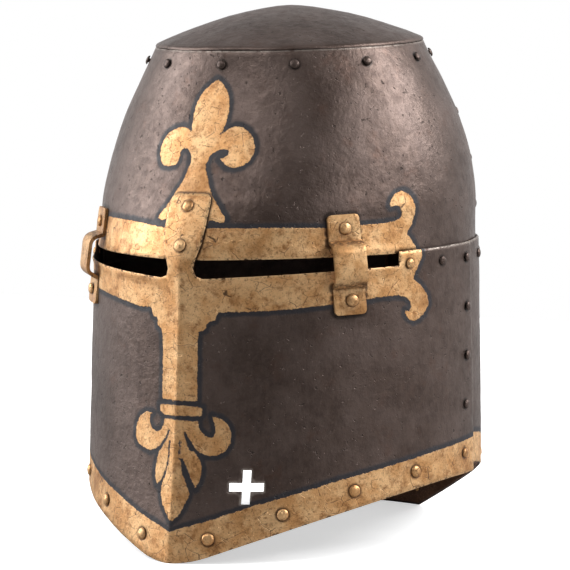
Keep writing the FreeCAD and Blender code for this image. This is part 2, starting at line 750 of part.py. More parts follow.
keeper_in = Part.makeBox(meet_x + chin_thick - strap_face + 2 * sheet_gap, strap_width + 2 * sheet_gap, keeper_height,
                         V(strap_face - sheet_gap, -strap_width / 2 - sheet_gap, keeper_low))
keeper_box = keeper_in.BoundBox
keeper = Part.makeBox(keeper_box.XLength + 2 * keeper_thick, keeper_box.YLength + 2 * keeper_thick, keeper_height,
                      V(keeper_box.XMin - keeper_thick, keeper_box.YMin - keeper_thick, keeper_low)).cut(keeper_in)

# Buckle: a frame of rod that swings on its bar in the fold, and a tongue that swings on the same bar
half_span = buckle_span / 2 + bar_radius
rail = bar.z - buckle_drop
frame = Part.makeCylinder(bar_radius, 2 * half_span + 2 * bar_radius, V(bar.x, -half_span - bar_radius, bar.z), V(0, 1, 0))
rod = flat(polygon(8, bar_radius, 0))
frame = frame.fuse(turned(rod.extrude(V(0, 0, 2 * half_span)), V(bar.x, -half_span, rail), V(0, 1, 0)))
for y in (-half_span, half_span):
    side = rod.extrude(V(0, 0, buckle_drop + bar_radius * 0.8))
    frame = frame.fuse(turned(side, V(bar.x, y, rail - bar_radius * 0.8), V(0, 0, 1), V(0, 1, 0)))
frame = frame.Solids[0]
loop = Part.makeCylinder(tongue_outer, 2 * tongue_half, bar - V(0, tongue_half, 0), V(0, 1, 0))
pin_top = V(bar.x + bar_radius + bar_play + tongue_wall / 2, 0, bar.z)
pin_foot = V(bar.x + bar_radius + tongue_radius + sheet_gap, 0, bar.z - buckle_drop - 3)
pin_way = pin_foot - pin_top
pin = flat(polygon(8, tongue_radius, 0)).extrude(V(0, 0, pin_way.Length))
pin = turned(pin, pin_top, pin_way.normalize(), V(0, 1, 0))
tongue = loop.fuse(pin).cut(Part.makeCylinder(bar_radius + bar_play, 20, bar - V(0, 10, 0), V(0, 1, 0)))
tongue = tongue.Solids[0]

sheets["liner_band"] = band
sheets["liner_cap"] = cap
sheets["liner_hangers"] = Part.makeCompound(hangers)
sheets["chin_strap_left"] = chin_left
sheets["chin_strap_right"] = chin_right
for name in ("liner_band", "liner_cap", "liner_hangers", "chin_strap_left", "chin_strap_right"):
    holes[name] = []

for k, (spot, name) in enumerate(rim_spots):
    layers = [name, "crown_plate"]
    if name == "brow_plate" and spot[0].y > brow_rear - side_lap - dark_rivet[0]:
        layers.append("upper_back_plate")
    if k % 2 == 0:
        layers.append("liner_hangers")
    fasten("rim_rivets", *spot, dark_rivet, layers, both=0 < k < rim_rivet_count // 2)
for foot, away, both in hanger_feet:
    fasten("liner_rivets", foot, away, liner_rivet, ["liner_hangers", "liner_band", "liner_cap"], both=both)
for height in strap_rivet_heights:
    layers = ["chin_strap_left", "chin_strap_right", "liner_band"]
    if height > cap_low + 3:
        layers.append("liner_cap")
    fasten("chin_strap_rivets", V(strap_out, 0, height), V(1, 0, 0), liner_rivet, layers)
fasten("fold_rivet", V(meet_x + chin_thick, 0, fold_top - 6), V(1, 0, 0), liner_rivet, ["chin_strap_left"], both=False)

# Drill every layer and gather the sub-parts
parts = {"liner_lace": [lace], "strap_keeper": [keeper], "buckle_frame": [frame], "buckle_tongue": [tongue]}
for name, solid in sheets.items():
    parts[name] = solid.cut(holes[name]).Solids if holes[name] else solid.Solids
parts.update(rivets)

# The origin lies on the floor under the middle of the whole helm
whole = Part.makeCompound([solid for group in parts.values() for solid in group]).BoundBox
shift = V(-(whole.XMin + whole.XMax) / 2, -(whole.YMin + whole.YMax) / 2, -whole.ZMin)
for name, group in parts.items():
    for solid in group:
        solid.translate(shift)
    made = group[0] if len(group) == 1 else Part.makeCompound(group)
    made.exportStep("parts/" + name + ".step")
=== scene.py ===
import math
import random
import bmesh
import bpy
import numpy as np
from mathutils import Matrix, Vector, kdtree, noise
from mathutils.bvhtree import BVHTree
from mathutils.geometry import delaunay_2d_cdt


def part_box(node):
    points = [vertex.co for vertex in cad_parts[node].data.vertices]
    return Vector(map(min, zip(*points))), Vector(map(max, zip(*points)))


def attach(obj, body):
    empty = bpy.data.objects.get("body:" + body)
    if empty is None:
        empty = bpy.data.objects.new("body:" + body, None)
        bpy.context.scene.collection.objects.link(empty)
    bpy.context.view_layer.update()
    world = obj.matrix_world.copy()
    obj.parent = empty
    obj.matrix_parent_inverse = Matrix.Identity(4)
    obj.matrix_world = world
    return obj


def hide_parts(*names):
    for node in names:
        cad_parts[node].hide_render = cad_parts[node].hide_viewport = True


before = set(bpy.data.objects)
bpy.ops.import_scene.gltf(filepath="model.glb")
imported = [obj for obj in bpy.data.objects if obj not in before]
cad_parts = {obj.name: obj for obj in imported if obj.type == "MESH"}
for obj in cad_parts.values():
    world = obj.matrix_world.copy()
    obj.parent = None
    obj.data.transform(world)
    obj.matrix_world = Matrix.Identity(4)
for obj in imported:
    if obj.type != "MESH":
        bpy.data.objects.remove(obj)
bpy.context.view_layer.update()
bpy.ops.object.select_all(action="DESELECT")
random.seed(7)
noise.seed_set(7)
mm = 0.001

# A wire wraps one socket of a node tree, so that shader sums read as plain sums
class Wire:
    def __init__(self, tree, socket=None):
        self.tree, self.socket = tree, socket

    def node(self, kind, settings=None, sockets=None, out=0):
        made = self.tree.nodes.new("ShaderNode" + kind)
        for name, value in (settings or {}).items():
            setattr(made, name, value)
        for name, value in (sockets or {}).items():
            if isinstance(value, Wire):
                self.tree.links.new(value.socket, made.inputs[name])
            else:
                made.inputs[name].default_value = value
        return Wire(self.tree, made.outputs[out])

    def maths(self, operation, *values):
        return self.node("Math", {"operation": operation}, dict(enumerate(values)))

    def __add__(self, other):
        return self.maths("ADD", self, other)

    def __radd__(self, other):
        return self.maths("ADD", other, self)

    def __sub__(self, other):
        return self.maths("SUBTRACT", self, other)

    def __rsub__(self, other):
        return self.maths("SUBTRACT", other, self)

    def __mul__(self, other):
        return self.maths("MULTIPLY", self, other)

    def __rmul__(self, other):
        return self.maths("MULTIPLY", other, self)

    def __truediv__(self, other):
        return self.maths("DIVIDE", self, other)

    def most(self, other):
        return self.maths("MAXIMUM", self, other)
    def between(self, low, high):             # 0 below low, 1 above high, smooth between
        return self.node("MapRange", {"interpolation_type": "SMOOTHSTEP"}, {0: self, 1: low, 2: high})

    def mix(self, first, second):             # this wire is the share of the second colour
        return self.node("Mix", {"data_type": "RGBA"}, {0: self, 6: first, 7: second}, 2)

    def grain(self, size, detail=3, roughness=0.55, stretch=(1, 1, 1), out=0):
        sockets = {"Vector": self.sized(size, stretch), "Scale": 1.0, "Detail": detail, "Roughness": roughness}
        return self.node("TexNoise", None, sockets, out)

    def cells(self, size, stretch=(1, 1, 1)):   # distance to the nearest border between cells
        sockets = {"Vector": self.sized(size, stretch), "Scale": 1.0}
        return self.node("TexVoronoi", {"feature": "DISTANCE_TO_EDGE"}, sockets)

    def sized(self, size, stretch):
        return self.node("Mapping", None, {"Vector": self, "Scale": [s / (size * mm) for s in stretch]})

    def measure(self, name):
        return self.node("Attribute", {"attribute_name": name}, None, 2)

    def bump(self, strength, distance):       # this wire is the height, and the distance is in mm
        return self.node("Bump", None, {"Height": self, "Strength": strength, "Distance": distance * mm})


def finish(name, build, **fixed):             # build(place) gives what goes to the shader's sockets
    made = bpy.data.materials.new(name)
    made.use_nodes = True
    tree = made.node_tree
    tree.nodes.clear()
    place = Wire(tree).node("TexCoord", None, None, 3)
    sockets = {**{key.replace("_", " "): value for key, value in fixed.items()}, **build(place)}
    shader = place.node("BsdfPrincipled", None, sockets)
    tree.links.new(shader.socket, tree.nodes.new("ShaderNodeOutputMaterial").inputs[0])
    return made


def tone(r, g, b):                            # 0-255 screen values to linear
    return [((c / 255 + 0.055) / 1.055) ** 2.4 if c > 10 else c / 255 / 12.92 for c in (r, g, b)] + [1]


def layered(colour, *coats):                  # each coat is a share and the colour it brings
    for share, coat in coats:
        colour = share.mix(colour, coat)
    return colour


steelLook = {
    "mid": tone(88, 73, 66), "dark": tone(62, 49, 44), "light": tone(114, 99, 93), "rust": tone(86, 61, 50),
    "ink": tone(33, 32, 38), "edge": tone(150, 140, 132), "pitAndShade": tone(36, 30, 27),
    "metal": 0.72, "relief": (0.75, 0.3),
}
giltLook = {
    "mid": tone(204, 152, 98), "light": tone(236, 196, 146), "dark": tone(146, 98, 54), "chipAndShade": tone(60, 43, 34),
    "grimeAndShade": tone(100, 68, 40), "metal": 0.62, "inkWidth": 3.4, "relief": (0.7, 0.3),
}


def steelParts(place):
    cloud = place.grain(42, 4, 0.62).between(0.36, 0.66)
    mottle = place.grain(6.5, 5, 0.66).between(0.3, 0.72)
    peel = place.grain(3.4, 4, 0.6)                                    # the hammered, lightly pitted skin
    fine = place.grain(0.9, 3, 0.7)
    drag = place.grain(2.4, 3, 0.6, (1, 1, 0.16)).between(0.4, 0.74)   # faint upright brushing
    pits = place.grain(3.1, 3, 0.55).between(0.64, 0.72)
    rust = place.grain(17, 4, 0.7).between(0.54, 0.78)
    colour = layered(steelLook["mid"], (mottle * 0.8, steelLook["dark"]), (cloud * 0.45, steelLook["light"]),
                     (drag * 0.16, steelLook["light"]), (rust * 0.5, steelLook["rust"]),
                     (fine.between(0.52, 0.74) * 0.35, steelLook["dark"]), (pits * 0.55, steelLook["pitAndShade"]))
    rough = 0.34 + mottle * 0.1 + cloud * 0.05 + pits * 0.12 + fine * 0.06
    return colour, rough, mottle * 0.5 + peel * 1.1 + fine * 0.22 - pits * 1.0


def soiled(place, width):                     # painted contact shade and grime where rivets, straps and laps meet the plate
    ragged = place.measure("soil") + (place.grain(1.6, 4, 0.7) - 0.5) * 1.2
    return 1 - ragged.between(0.1, width)


def plainSteel(place):
    colour, rough, height = steelParts(place)
    worn = (1 - place.measure("edge").between(0.2, 1.3)) * place.grain(4, 3).between(0.3, 0.55)
    # painted contact shade and grime: the dark pit colour where rivets, straps and laps meet the plate
    grimeAndShade = soiled(place, 1.7)
    return {"Base Color": layered(colour, (worn * 0.8, steelLook["edge"]), (grimeAndShade * 0.75, steelLook["pitAndShade"])),
            "Roughness": rough + grimeAndShade * 0.15, "Metallic": steelLook["metal"],
            "Normal": height.bump(*steelLook["relief"])}


def giltParts(place):
    cloud = place.grain(15, 4, 0.6).between(0.36, 0.66)
    speck = place.grain(1.2, 4, 0.7)
    flake = place.grain(4.6, 6, 0.74).between(0.665, 0.7)
    warp = place.node("VectorMath", {"operation": "SCALE"}, {0: place.grain(9, 2, 0.5, out=1), 3: 0.003})
    crackle = place.node("VectorMath", {"operation": "ADD"}, {0: place, 1: warp})
    crack = 1 - crackle.cells(13, (1, 1, 1.5)).between(0.003, 0.02)
    crack = crack * place.grain(10, 3).between(0.5, 0.57)
    nick = place.grain(2.6, 5, 0.7, (1, 1, 2.4)).between(0.66, 0.69) * place.grain(19, 3).between(0.42, 0.56)
    fine = place.grain(1.7, 5, 0.82).between(0.64, 0.7) * place.grain(11, 3).between(0.4, 0.6)
    grimeAndShade = place.grain(7, 6, 0.76).between(0.5, 0.68)
    tan = place.grain(28, 5, 0.7).between(0.5, 0.66)
    soot = place.grain(2.4, 5, 0.78).between(0.52, 0.68)
    colour = layered(giltLook["mid"], (cloud * 0.75, giltLook["light"]), (grimeAndShade * 0.75, giltLook["dark"]),
                     (tan * 0.5, giltLook["dark"]), (soot * 0.7, giltLook["grimeAndShade"]),
                     (speck.between(0.48, 0.74) * 0.5, giltLook["dark"]))
    return colour, cloud, speck, flake.most(crack * 0.85).most(fine * 0.8).most(nick * 0.9)


def paintedSteel(place):
    steel, rough, height = steelParts(place)
    gilt, cloud, speck, bareAndShade = giltParts(place)
    reach = place.measure("gilt")
    ragged = reach + (place.grain(3.0, 5, 0.75) - 0.5) * 2.8 + (place.grain(0.9, 3) - 0.5) * 1.0
    soft = reach + (place.grain(5, 4, 0.65) - 0.5) * 2.4
    leaf = 1 - ragged.between(-0.35, 0.1)
    ink = (1 - soft.between(giltLook["inkWidth"] - 1.4, giltLook["inkWidth"] + 0.9)) * 0.93
    ink = ink * (1 - place.grain(2.1, 5, 0.75).between(0.62, 0.7) * 0.5)
    nearEdge = 1 - place.measure("edge").between(0.3, 1.9)
    # painted contact shade and grime where rivets, straps and laps meet the plate: darker steel, and the gilt
    # turned to its dark chip colour
    grimeAndShade = soiled(place, 1.9)
    chipAndShade = leaf * bareAndShade.most(nearEdge * place.grain(3.0, 4, 0.7).between(0.52, 0.6) * 0.9).most(grimeAndShade * 0.85)
    bright = nearEdge * place.grain(4, 3).between(0.3, 0.55)
    colour = layered(steel, (bright * 0.85, steelLook["edge"]), (grimeAndShade * 0.75, steelLook["pitAndShade"]),
                     (ink, steelLook["ink"]), (leaf, gilt), (leaf * nearEdge * (1 - chipAndShade) * 0.5, giltLook["light"]),
                     (chipAndShade, giltLook["chipAndShade"]))
    shine, outline = leaf * (1 - chipAndShade), ink * (1 - leaf)
    metal = (1 - outline * 0.75) * steelLook["metal"] - shine * (steelLook["metal"] - giltLook["metal"])
    height = height * (1 - shine * 0.35) + shine * (0.7 + speck * 0.5)
    return {"Base Color": colour, "Roughness": rough + outline * 0.12 + shine * (cloud * 0.06 + 0.02),
            "Metallic": metal, "Normal": height.bump(*steelLook["relief"])}


def giltIron(place):
    gilt, cloud, speck, bareAndShade = giltParts(place)
    worn = (1 - place.measure("edge").between(0.2, 1.6)) * place.grain(2.6, 4, 0.7).between(0.42, 0.6)
    # darker gilt in a band along the strap's foot bends
    darkFoot = place.measure("bend") * place.grain(3.2, 5, 0.75).between(0.36, 0.6)
    # besides real chips and edge wear, the dark chip colour paints contact shade and grime round the rivet heads
    bareAndShade = (bareAndShade * 0.85).most(soiled(place, 2.0) * 0.9).most(worn * 0.6).most(darkFoot * 0.85)
    height = speck * 0.6 - bareAndShade * 0.9 + place.grain(5, 3) * 1.0
    return {"Base Color": bareAndShade.mix(gilt, giltLook["chipAndShade"]), "Roughness": 0.36 + cloud * 0.08 + bareAndShade * 0.14,
            "Metallic": giltLook["metal"] + bareAndShade * 0.08, "Normal": height.bump(*giltLook["relief"])}


def darkIron(place):
    colour, rough, height = steelParts(place)
    return {"Base Color": layered(colour, (place.grain(2, 4).between(0.3, 0.7) * 0.5, tone(46, 37, 33))),
            "Roughness": rough + 0.02, "Metallic": 0.7, "Normal": height.bump(0.7, 0.25)}


def leatherLook(base, dark, light, pore):
    def build(place):
        cloud = place.grain(22, 4, 0.6).between(0.35, 0.68)
        cell = place.cells(pore).between(0.0, 0.3)
        crease = place.grain(9, 5, 0.7, (1, 1, 2.2)).between(0.6, 0.7)
        colour = layered(base, (cloud * 0.7, light), ((1 - cell) * 0.55, dark), (crease * 0.5, dark))
        height = cell * 0.8 + place.grain(0.5, 2) * 0.25 - crease * 0.5
        return {"Base Color": colour, "Roughness": 0.6 + (1 - cell) * 0.15 - cloud * 0.06,
                "Normal": height.bump(0.5, 0.3)}
    return build


def brassLook(place):
    cloud = place.grain(8, 4, 0.65).between(0.35, 0.65)
    dull = place.grain(2.4, 5, 0.7).between(0.5, 0.72)
    line = place.grain(0.8, 2, 0.5, (1, 0.06, 1))
    colour = layered(tone(176, 138, 72), (cloud * 0.6, tone(202, 166, 98)), (dull * 0.55, tone(112, 82, 44)))
    return {"Base Color": colour, "Roughness": 0.26 + dull * 0.2 + line * 0.06,
            "Normal": (line * 0.4 - dull * 0.5).bump(0.4, 0.12)}


def laceLook(place):
    fibre = place.grain(0.45, 3, 0.6)
    cloud = place.grain(6, 3).between(0.35, 0.65)
    colour = layered(tone(196, 178, 146), (cloud * 0.6, tone(168, 146, 112)),
                     (fibre.between(0.5, 0.75) * 0.5, tone(128, 108, 80)))
    return {"Base Color": colour, "Roughness": 0.8 + fibre * 0.1, "Normal": fibre.bump(0.6, 0.15)}


def threadLook(place):
    wax = place.grain(0.6, 3, 0.6)
    return {"Base Color": wax.between(0.4, 0.7).mix(tone(214, 196, 160), tone(160, 138, 102)),
            "Roughness": 0.66 + wax * 0.1, "Normal": wax.bump(0.5, 0.1)}


harness = leatherLook(tone(112, 72, 44), tone(66, 40, 24), tone(138, 94, 60), 1.5)
softHide = leatherLook(tone(186, 152, 112), tone(138, 104, 70), tone(206, 176, 136), 1.1)
looks = {
    "steel": finish("blackened steel", plainSteel),
    "painted": finish("blackened steel with gilding", paintedSteel),
    "gilt": finish("gilt iron", giltIron),
    "iron": finish("dark iron", darkIron),
    "harness": finish("harness leather", harness, Specular_IOR_Level=0.4),
    "soft": finish("soft leather", softHide, Specular_IOR_Level=0.3),
    "brass": finish("brass", brassLook, Metallic=0.9),
    "lace": finish("linen lace", laceLook, Sheen_Weight=0.2),
    "thread": finish("waxed thread", threadLook),
}
print("finishes ready")

# The helm's skin in mm: every plate follows it, one lap further in for each plate above it
skin = {
    "keel": [(-8, 161), (18, 156.8), (55, 150.5), (100, 145.6), (150, 141.8), (176, 141), (188, 142.4), (200, 141),
             (224, 131), (243, 119.3), (262, 108), (282, 98.8), (302, 91.3), (326, 85.5), (362, 80)],
    "side": [(-8, 132), (60, 132.5), (150, 131), (200, 129.6), (246, 124.5), (276, 116), (301, 104.6), (326, 92),
             (362, 80)],
    "middle": [(-8, 0.6), (190, 4), (250, 6.5), (362, 6.5)],
    "backShare": 0.925, "spread": (199, 228), "forward": 18.1276, "lap": 2.0, "thick": 1.8,
    "keelRound": [(150, 0.7), (184, 1.2), (206, 3.0), (300, 2.0)],
    "ridge": [(0, 0.5), (12, 0.7), (30, 1.6), (150, 2.0), (176, 1.9), (192, 0.2), (232, 0.2), (245, 0.7),
              (300, 0.4)],
    "ridgeReach": 9,
    "dents": (0.28, 27, 0.13, 8),             # height and width of the hammer marks, large and small
}

def along(profile, z):
    zs = np.array([p[0] for p in profile], float)
    rs = np.array([p[1] for p in profile], float)
    slopes = np.empty_like(rs)
    slopes[1:-1] = (rs[2:] - rs[:-2]) / (zs[2:] - zs[:-2])
    slopes[0] = (rs[1] - rs[0]) / (zs[1] - zs[0])
    slopes[-1] = (rs[-1] - rs[-2]) / (zs[-1] - zs[-2])
    z = np.clip(z, zs[0], zs[-1])
    i = np.clip(np.searchsorted(zs, z, side="right") - 1, 0, len(zs) - 2)
    step = zs[i + 1] - zs[i]
    t = (z - zs[i]) / step
    return (rs[i] * (1 + 2 * t) * (1 - t) ** 2 + slopes[i] * step * t * (1 - t) ** 2
            + rs[i + 1] * t * t * (3 - 2 * t) + slopes[i + 1] * step * t * t * (t - 1))


def frontRound(z):                            # length of the skin from the keel to the side, and on to the back
    wide, mid = along(skin["side"], z), along(skin["middle"], z)
    length = mid + along(skin["keel"], z)
    radius = (wide ** 2 + length ** 2) / (2 * wide)
    back = wide * skin["backShare"]
    return radius * np.arctan2(length, radius - wide), np.sqrt((wide ** 2 + back ** 2) / 2) * math.pi / 2


def onSkin(u, z, layer=((0, 0, 0), (0, 0, 0)), depth=0.0):
    u, z = np.asarray(u, float), np.asarray(z, float)
    side = np.where(u < 0, -1.0, 1.0)
    a = np.abs(u)
    wide, mid = along(skin["side"], z), along(skin["middle"], z)
    length = mid + along(skin["keel"], z)
    arc, rear = frontRound(z)
    bluntness = np.interp(z, *zip(*skin["keelRound"]))
    soft = a + bluntness * np.exp(-a / bluntness)
    share, softShare = np.clip(a / arc, 0, 1), np.clip(soft / arc, 0, 1)
    swing = np.clip((a - arc) / rear, 0, 1) * math.pi / 2
    t = np.clip((z - skin["spread"][0]) / (skin["spread"][1] - skin["spread"][0]), 0, 1)
    t = t * t * (3 - 2 * t)
    f, s, b = [skin["lap"] * (layer[0][i] + (layer[1][i] - layer[0][i]) * t) + depth for i in range(3)]
    w, length = wide - s, length - f
    radius = (w ** 2 + length ** 2) / (2 * w)
    full = np.arctan2(length, radius - w)
    x = np.where(a < arc, w - radius + radius * np.cos(full * (1 - share)), w * np.cos(swing))
    front = mid - radius * np.sin(full * (1 - softShare))
    y = np.where(a < arc, front, mid + (wide * skin["backShare"] - b) * np.sin(swing))
    return np.stack([side * x, y + skin["forward"], z], -1)


def solve(wanted, low, high):                 # where a growing measure crosses nought
    for _ in range(40):
        middle = (low + high) / 2
        past = wanted(middle) > 0
        low, high = np.where(past, low, middle), np.where(past, middle, high)
    return (low + high) / 2


def atWidth(x, z):                            # skin length from the keel at a half width x on the front
    x, z = np.asarray(x, float), np.asarray(z, float)
    return solve(lambda u: onSkin(u, z)[..., 0] - x, np.zeros_like(z), frontRound(z)[0])


def atDepth(y, z):                            # skin length from the keel at a depth y, in the plates' own frame
    z = np.asarray(z, float)
    return solve(lambda u: onSkin(u, z)[..., 1] - skin["forward"] - y, np.zeros_like(z), sum(frontRound(z)))


def wholeRound(z):
    return sum(frontRound(np.asarray(z, float)))

def frontPlace(v, z):
    return v


def backPlace(v, z):                          # v is counted from the back's middle
    v = np.asarray(v, float)
    return np.where(v < 0, -1.0, 1.0) * (wholeRound(z) - np.abs(v))


def widthLine(pairs):                         # (half width, height) to (along the skin, height)
    return [(float(atWidth(x, h)), float(h)) for x, h in pairs]


def depthLine(depth, heights):
    return [(float(atDepth(depth, h)), float(h)) for h in heights]


def mirrored(half):                           # the other half of a line that ends on the keel
    return [(-u, h) for u, h in reversed(half) if u > 1e-6]


# The gilding, drawn on the unrolled front in mm: (along from the keel, height)
armEnd = [
    (120, 211.6), (132.3, 212), (142.4, 213), (146.7, 215.1), (146.4, 218.1), (143.6, 222), (140.6, 222.9),
    (136.6, 222.1), (135.2, 223.5), (135.6, 227.7), (137.4, 230.5), (142.3, 232), (148.4, 230.1),
    (154.3, 225.7), (157.8, 220.1), (157.9, 215.9), (157.7, 210.8), (155.5, 206.3), (155.4, 204.2),
    (159.7, 200.6), (162.5, 197.5), (165.4, 193.9), (166.1, 190.3), (163.5, 185.3), (159.5, 180.4),
    (157.5, 175.8), (162.1, 172.9), (166.3, 168.8), (170, 164.2), (170.9, 159), (167.7, 154.1),
    (162.4, 150.2), (157.8, 148.8), (153.3, 150.8), (150.5, 154.4), (150.4, 156.1), (154.3, 155.7),
    (155.9, 158.3), (154.7, 161.8), (150.8, 164.6), (144.4, 166.3), (136.2, 165.9), (128.4, 165.5),
    (123.1, 164.9)
]
gilding = {
    "cross": [
        (-86.9, 213.6), (-53.8, 213.2), (-30.6, 211.7), (-16, 210.2), (15, 210.7), (63.3, 211), (93.9, 210.5),
        *armEnd, (101.7, 162.8), (77.4, 160.5), (54.9, 159.1), (29.4, 158.2), (26, 158.1), (24.7, 156),
        (23.4, 153), (19.9, 152.1), (17.8, 150), (17.4, 147), (13.4, 145.6), (12.6, 140.5), (13.2, 120),
        (13.4, 101.8), (2.6, 102), (-12.6, 102.2), (-12.9, 120), (-13.4, 139.3), (-14.8, 146.4),
        (-18.3, 148.3), (-19.1, 153.4), (-22.7, 154.4), (-24, 157.3), (-24.7, 159.4), (-33.8, 159.2),
        (-46.1, 160.9), (-63, 163.1), (-93.6, 166.2), *[(-u, z) for u, z in reversed(armEnd)]
    ],
    "collar": [
        (-14.5, 98.9), (2.7, 99.2), (16.8, 98), (17, 93.9), (15.9, 92.3), (4, 92.5), (-10.3, 92.2),
        (-14, 94.6)
    ],
    "upperFleur": [
        (-1.7, 303.4), (2, 301.3), (6, 297.6), (9.1, 293.2), (10.7, 288), (11.4, 282.6), (11.2, 276.4),
        (10, 271.7), (8.2, 268.2), (10.8, 269.8), (13.8, 272.3), (18.1, 273.8), (22.8, 273.3), (27.9, 270.8),
        (32.2, 266.4), (34.5, 261.7), (34.9, 257), (33.2, 252.3), (29.7, 249.3), (24.3, 247.8), (18.7, 248.9),
        (15, 251.1), (12, 253.8), (14.2, 253.8), (16.8, 255.2), (17.9, 257.2), (16.7, 258.8), (13.3, 259.2),
        (9.6, 258.5), (6.5, 256.7), (4.5, 254.3), (4.1, 251.3), (3.3, 249.6), (5.6, 244.6), (7.9, 240.7),
        (11.2, 235.4), (13.9, 230.8), (18, 226.9), (21.7, 222.6), (25.1, 218.9), (27, 216), (25.8, 214.1),
        (23.6, 213.9), (20.2, 214.9), (16.4, 215.6), (12, 205), (-11.5, 205), (-11.5, 217.5), (-18.8, 214.7),
        (-24.5, 215.3), (-23.6, 217.7), (-18.8, 223.3), (-15, 230.1), (-13.1, 234.5), (-11, 238.3),
        (-9.7, 243), (-9, 247), (-8.3, 250.4), (-9.3, 253.8), (-11.1, 257.1), (-13.6, 258.8), (-16.8, 259.4),
        (-18.7, 258), (-18.4, 254.9), (-18.7, 251.9), (-19.9, 249.1), (-25.1, 248), (-30.6, 248.4),
        (-34.2, 251.1), (-36.8, 255.1), (-37.7, 259.9), (-36.5, 264.4), (-33.4, 268.8), (-28.3, 271.4),
        (-22.2, 272.9), (-17.6, 272.3), (-14.5, 270), (-14.3, 271.3), (-14.9, 276.8), (-15.2, 281.6),
        (-14.7, 286.4), (-13.3, 291.3), (-10.6, 296.1), (-6.4, 299.9)
    ],
    "lowerFleur": [
        (-10.2, 90.3), (-10.7, 86.4), (-13, 82.5), (-16.8, 81.2), (-20.9, 82.7), (-23.2, 87.2), (-23, 90.9),
        (-20.5, 93), (-27, 92.9), (-32.6, 90), (-36.1, 84.1), (-36.8, 76.5), (-33.9, 72.1), (-28.6, 69.9),
        (-21.5, 68.7), (-16.2, 70.6), (-12.5, 73.3), (-8.4, 78.3), (-5.5, 82.7), (-6.6, 79.8), (-9.4, 75.4),
        (-13, 70.4), (-14.6, 65.7), (-16.1, 59), (-16, 52.6), (-13.9, 47.7), (-10.3, 51.3), (-7.6, 57.1),
        (-5.5, 61.4), (-6.8, 54.4), (-9.5, 49.5), (-10.3, 43.9), (-8.3, 36.8), (-3.8, 30.8), (0.8, 25.8),
        (4.9, 29.6), (7.5, 34.3), (10, 39.9), (11.3, 44.5), (8.7, 49.9), (5.8, 56.2), (4.4, 63.5),
        (3.7, 66.2), (5.8, 65.4), (8.6, 60), (11.9, 52.8), (14.8, 46.9), (17.3, 52), (18.5, 59.4),
        (17.1, 64.9), (13.9, 69.4), (10.9, 71.1), (8.8, 73.8), (6.8, 78.3), (6.2, 82), (8, 80.2),
        (10.7, 75.7), (14.9, 70.3), (20.7, 68.2), (27.4, 68.1), (32.9, 70.8), (36, 76.4), (36.2, 82.8),
        (34.1, 87.4), (29.3, 91.4), (23.5, 92.7), (25.1, 88.1), (26.3, 83.5), (24.1, 78.9), (19.2, 80.6),
        (15.7, 84.2), (14, 89.5)
    ],
    "hem": [
        (0, 19.8), (8.4, 22.6), (22.5, 26.6), (36.3, 31.3), (52.5, 37), (75.4, 42.9), (106, 51.2),
        (139.5, 57.6), (179, 63.5), (222, 67.2)
    ],
    "veins": [[(-5.5, 82.7), (-6.6, 79.8), (-9.4, 75.4), (-13, 70.4)], [(6.2, 82), (8.8, 73.8), (10.9, 71.1)],
              [(-5.5, 61.4), (-4.6, 70), (-4.4, 76)], [(3.7, 66.2), (3.4, 72), (3.6, 77)]],
    "veinWidth": 0.7, "tabFrom": 196,
}


def segmentReach(points, line, closed):       # distance to a line of points, and what it encloses
    line = np.array(line, float)
    a, b = (line, np.roll(line, -1, 0)) if closed else (line[:-1], line[1:])
    best, inside = np.full(len(points), 1e9), np.zeros(len(points), bool)
    for p, q in zip(a, b):
        step, apart = q - p, points - p
        t = np.clip((apart @ step) / (step @ step + 1e-12), 0, 1)
        best = np.minimum(best, np.hypot(*(points - p - t[:, None] * step).T))
        if closed:
            crosses = (p[1] > points[:, 1]) != (q[1] > points[:, 1])
            inside ^= crosses & (points[:, 0] < step[0] * apart[:, 1] / (step[1] + 1e-12) + p[0])
    return best, inside


def insideLoops(points, loops):
    best, inside = np.full(len(points), 1e9), np.zeros(len(points), bool)
    for loop in loops:
        reach, within = segmentReach(points, loop, True)
        best, inside = np.minimum(best, reach), inside ^ within
    return inside, best


def frontGilt(points, names, hem=False):      # signed distance to the gilding, less than nought on it
    found = np.full(len(points), farOff["gilt"])
    for name in names:
        reach, inside = segmentReach(points, gilding[name], True)
        found = np.minimum(found, np.where(inside, -reach, reach))
    if hem:
        line = np.array(gilding["hem"])
        found = np.minimum(found, (points[:, 1] - np.interp(np.abs(points[:, 0]), *line.T)) * 0.95)
        found = np.where(points[:, 1] > gilding["tabFrom"], -3.0, found)
        for line in gilding["veins"]:
            found = np.maximum(found, gilding["veinWidth"] - segmentReach(points, line, False)[0])
    return found


# Rivet places, read from the CAD nodes
def islands(node):
    bm = bmesh.new()
    bm.from_mesh(bpy.data.objects[node].data)
    bmesh.ops.remove_doubles(bm, verts=bm.verts, dist=0.00002)
    seen, groups = set(), []
    for vert in bm.verts:
        if vert in seen:
            continue
        group, stack = [], [vert]
        seen.add(vert)
        while stack:
            here = stack.pop()
            group.append(tuple(here.co))
            for edge in here.link_edges:
                other = edge.other_vert(here)
                if other not in seen:
                    seen.add(other)
                    stack.append(other)
        groups.append(np.array(group))
    bm.free()
    return groups


def rivetSpots(node, rise):                   # each rivet's foot of head, axis, and reach behind the head
    spots = []
    for group in islands(node):
        centre = group.mean(0)
        values, vectors = np.linalg.eigh(np.cov((group - centre).T))
        axis = vectors[:, 0 if values[1] - values[0] > values[2] - values[1] else 2]
        if axis @ (centre - np.array([0, skin["forward"] * mm, centre[2] - 0.03])) < 0:
            axis = -axis
        length = (group - centre) @ axis
        line = (group - centre) - length[:, None] * axis
        foot = centre + axis * (length.max() - rise * mm) + line[length > length.max() - 0.0015].mean(0)
        spots.append((foot, axis, (length.max() - length.min()) / mm - rise))
    return spots


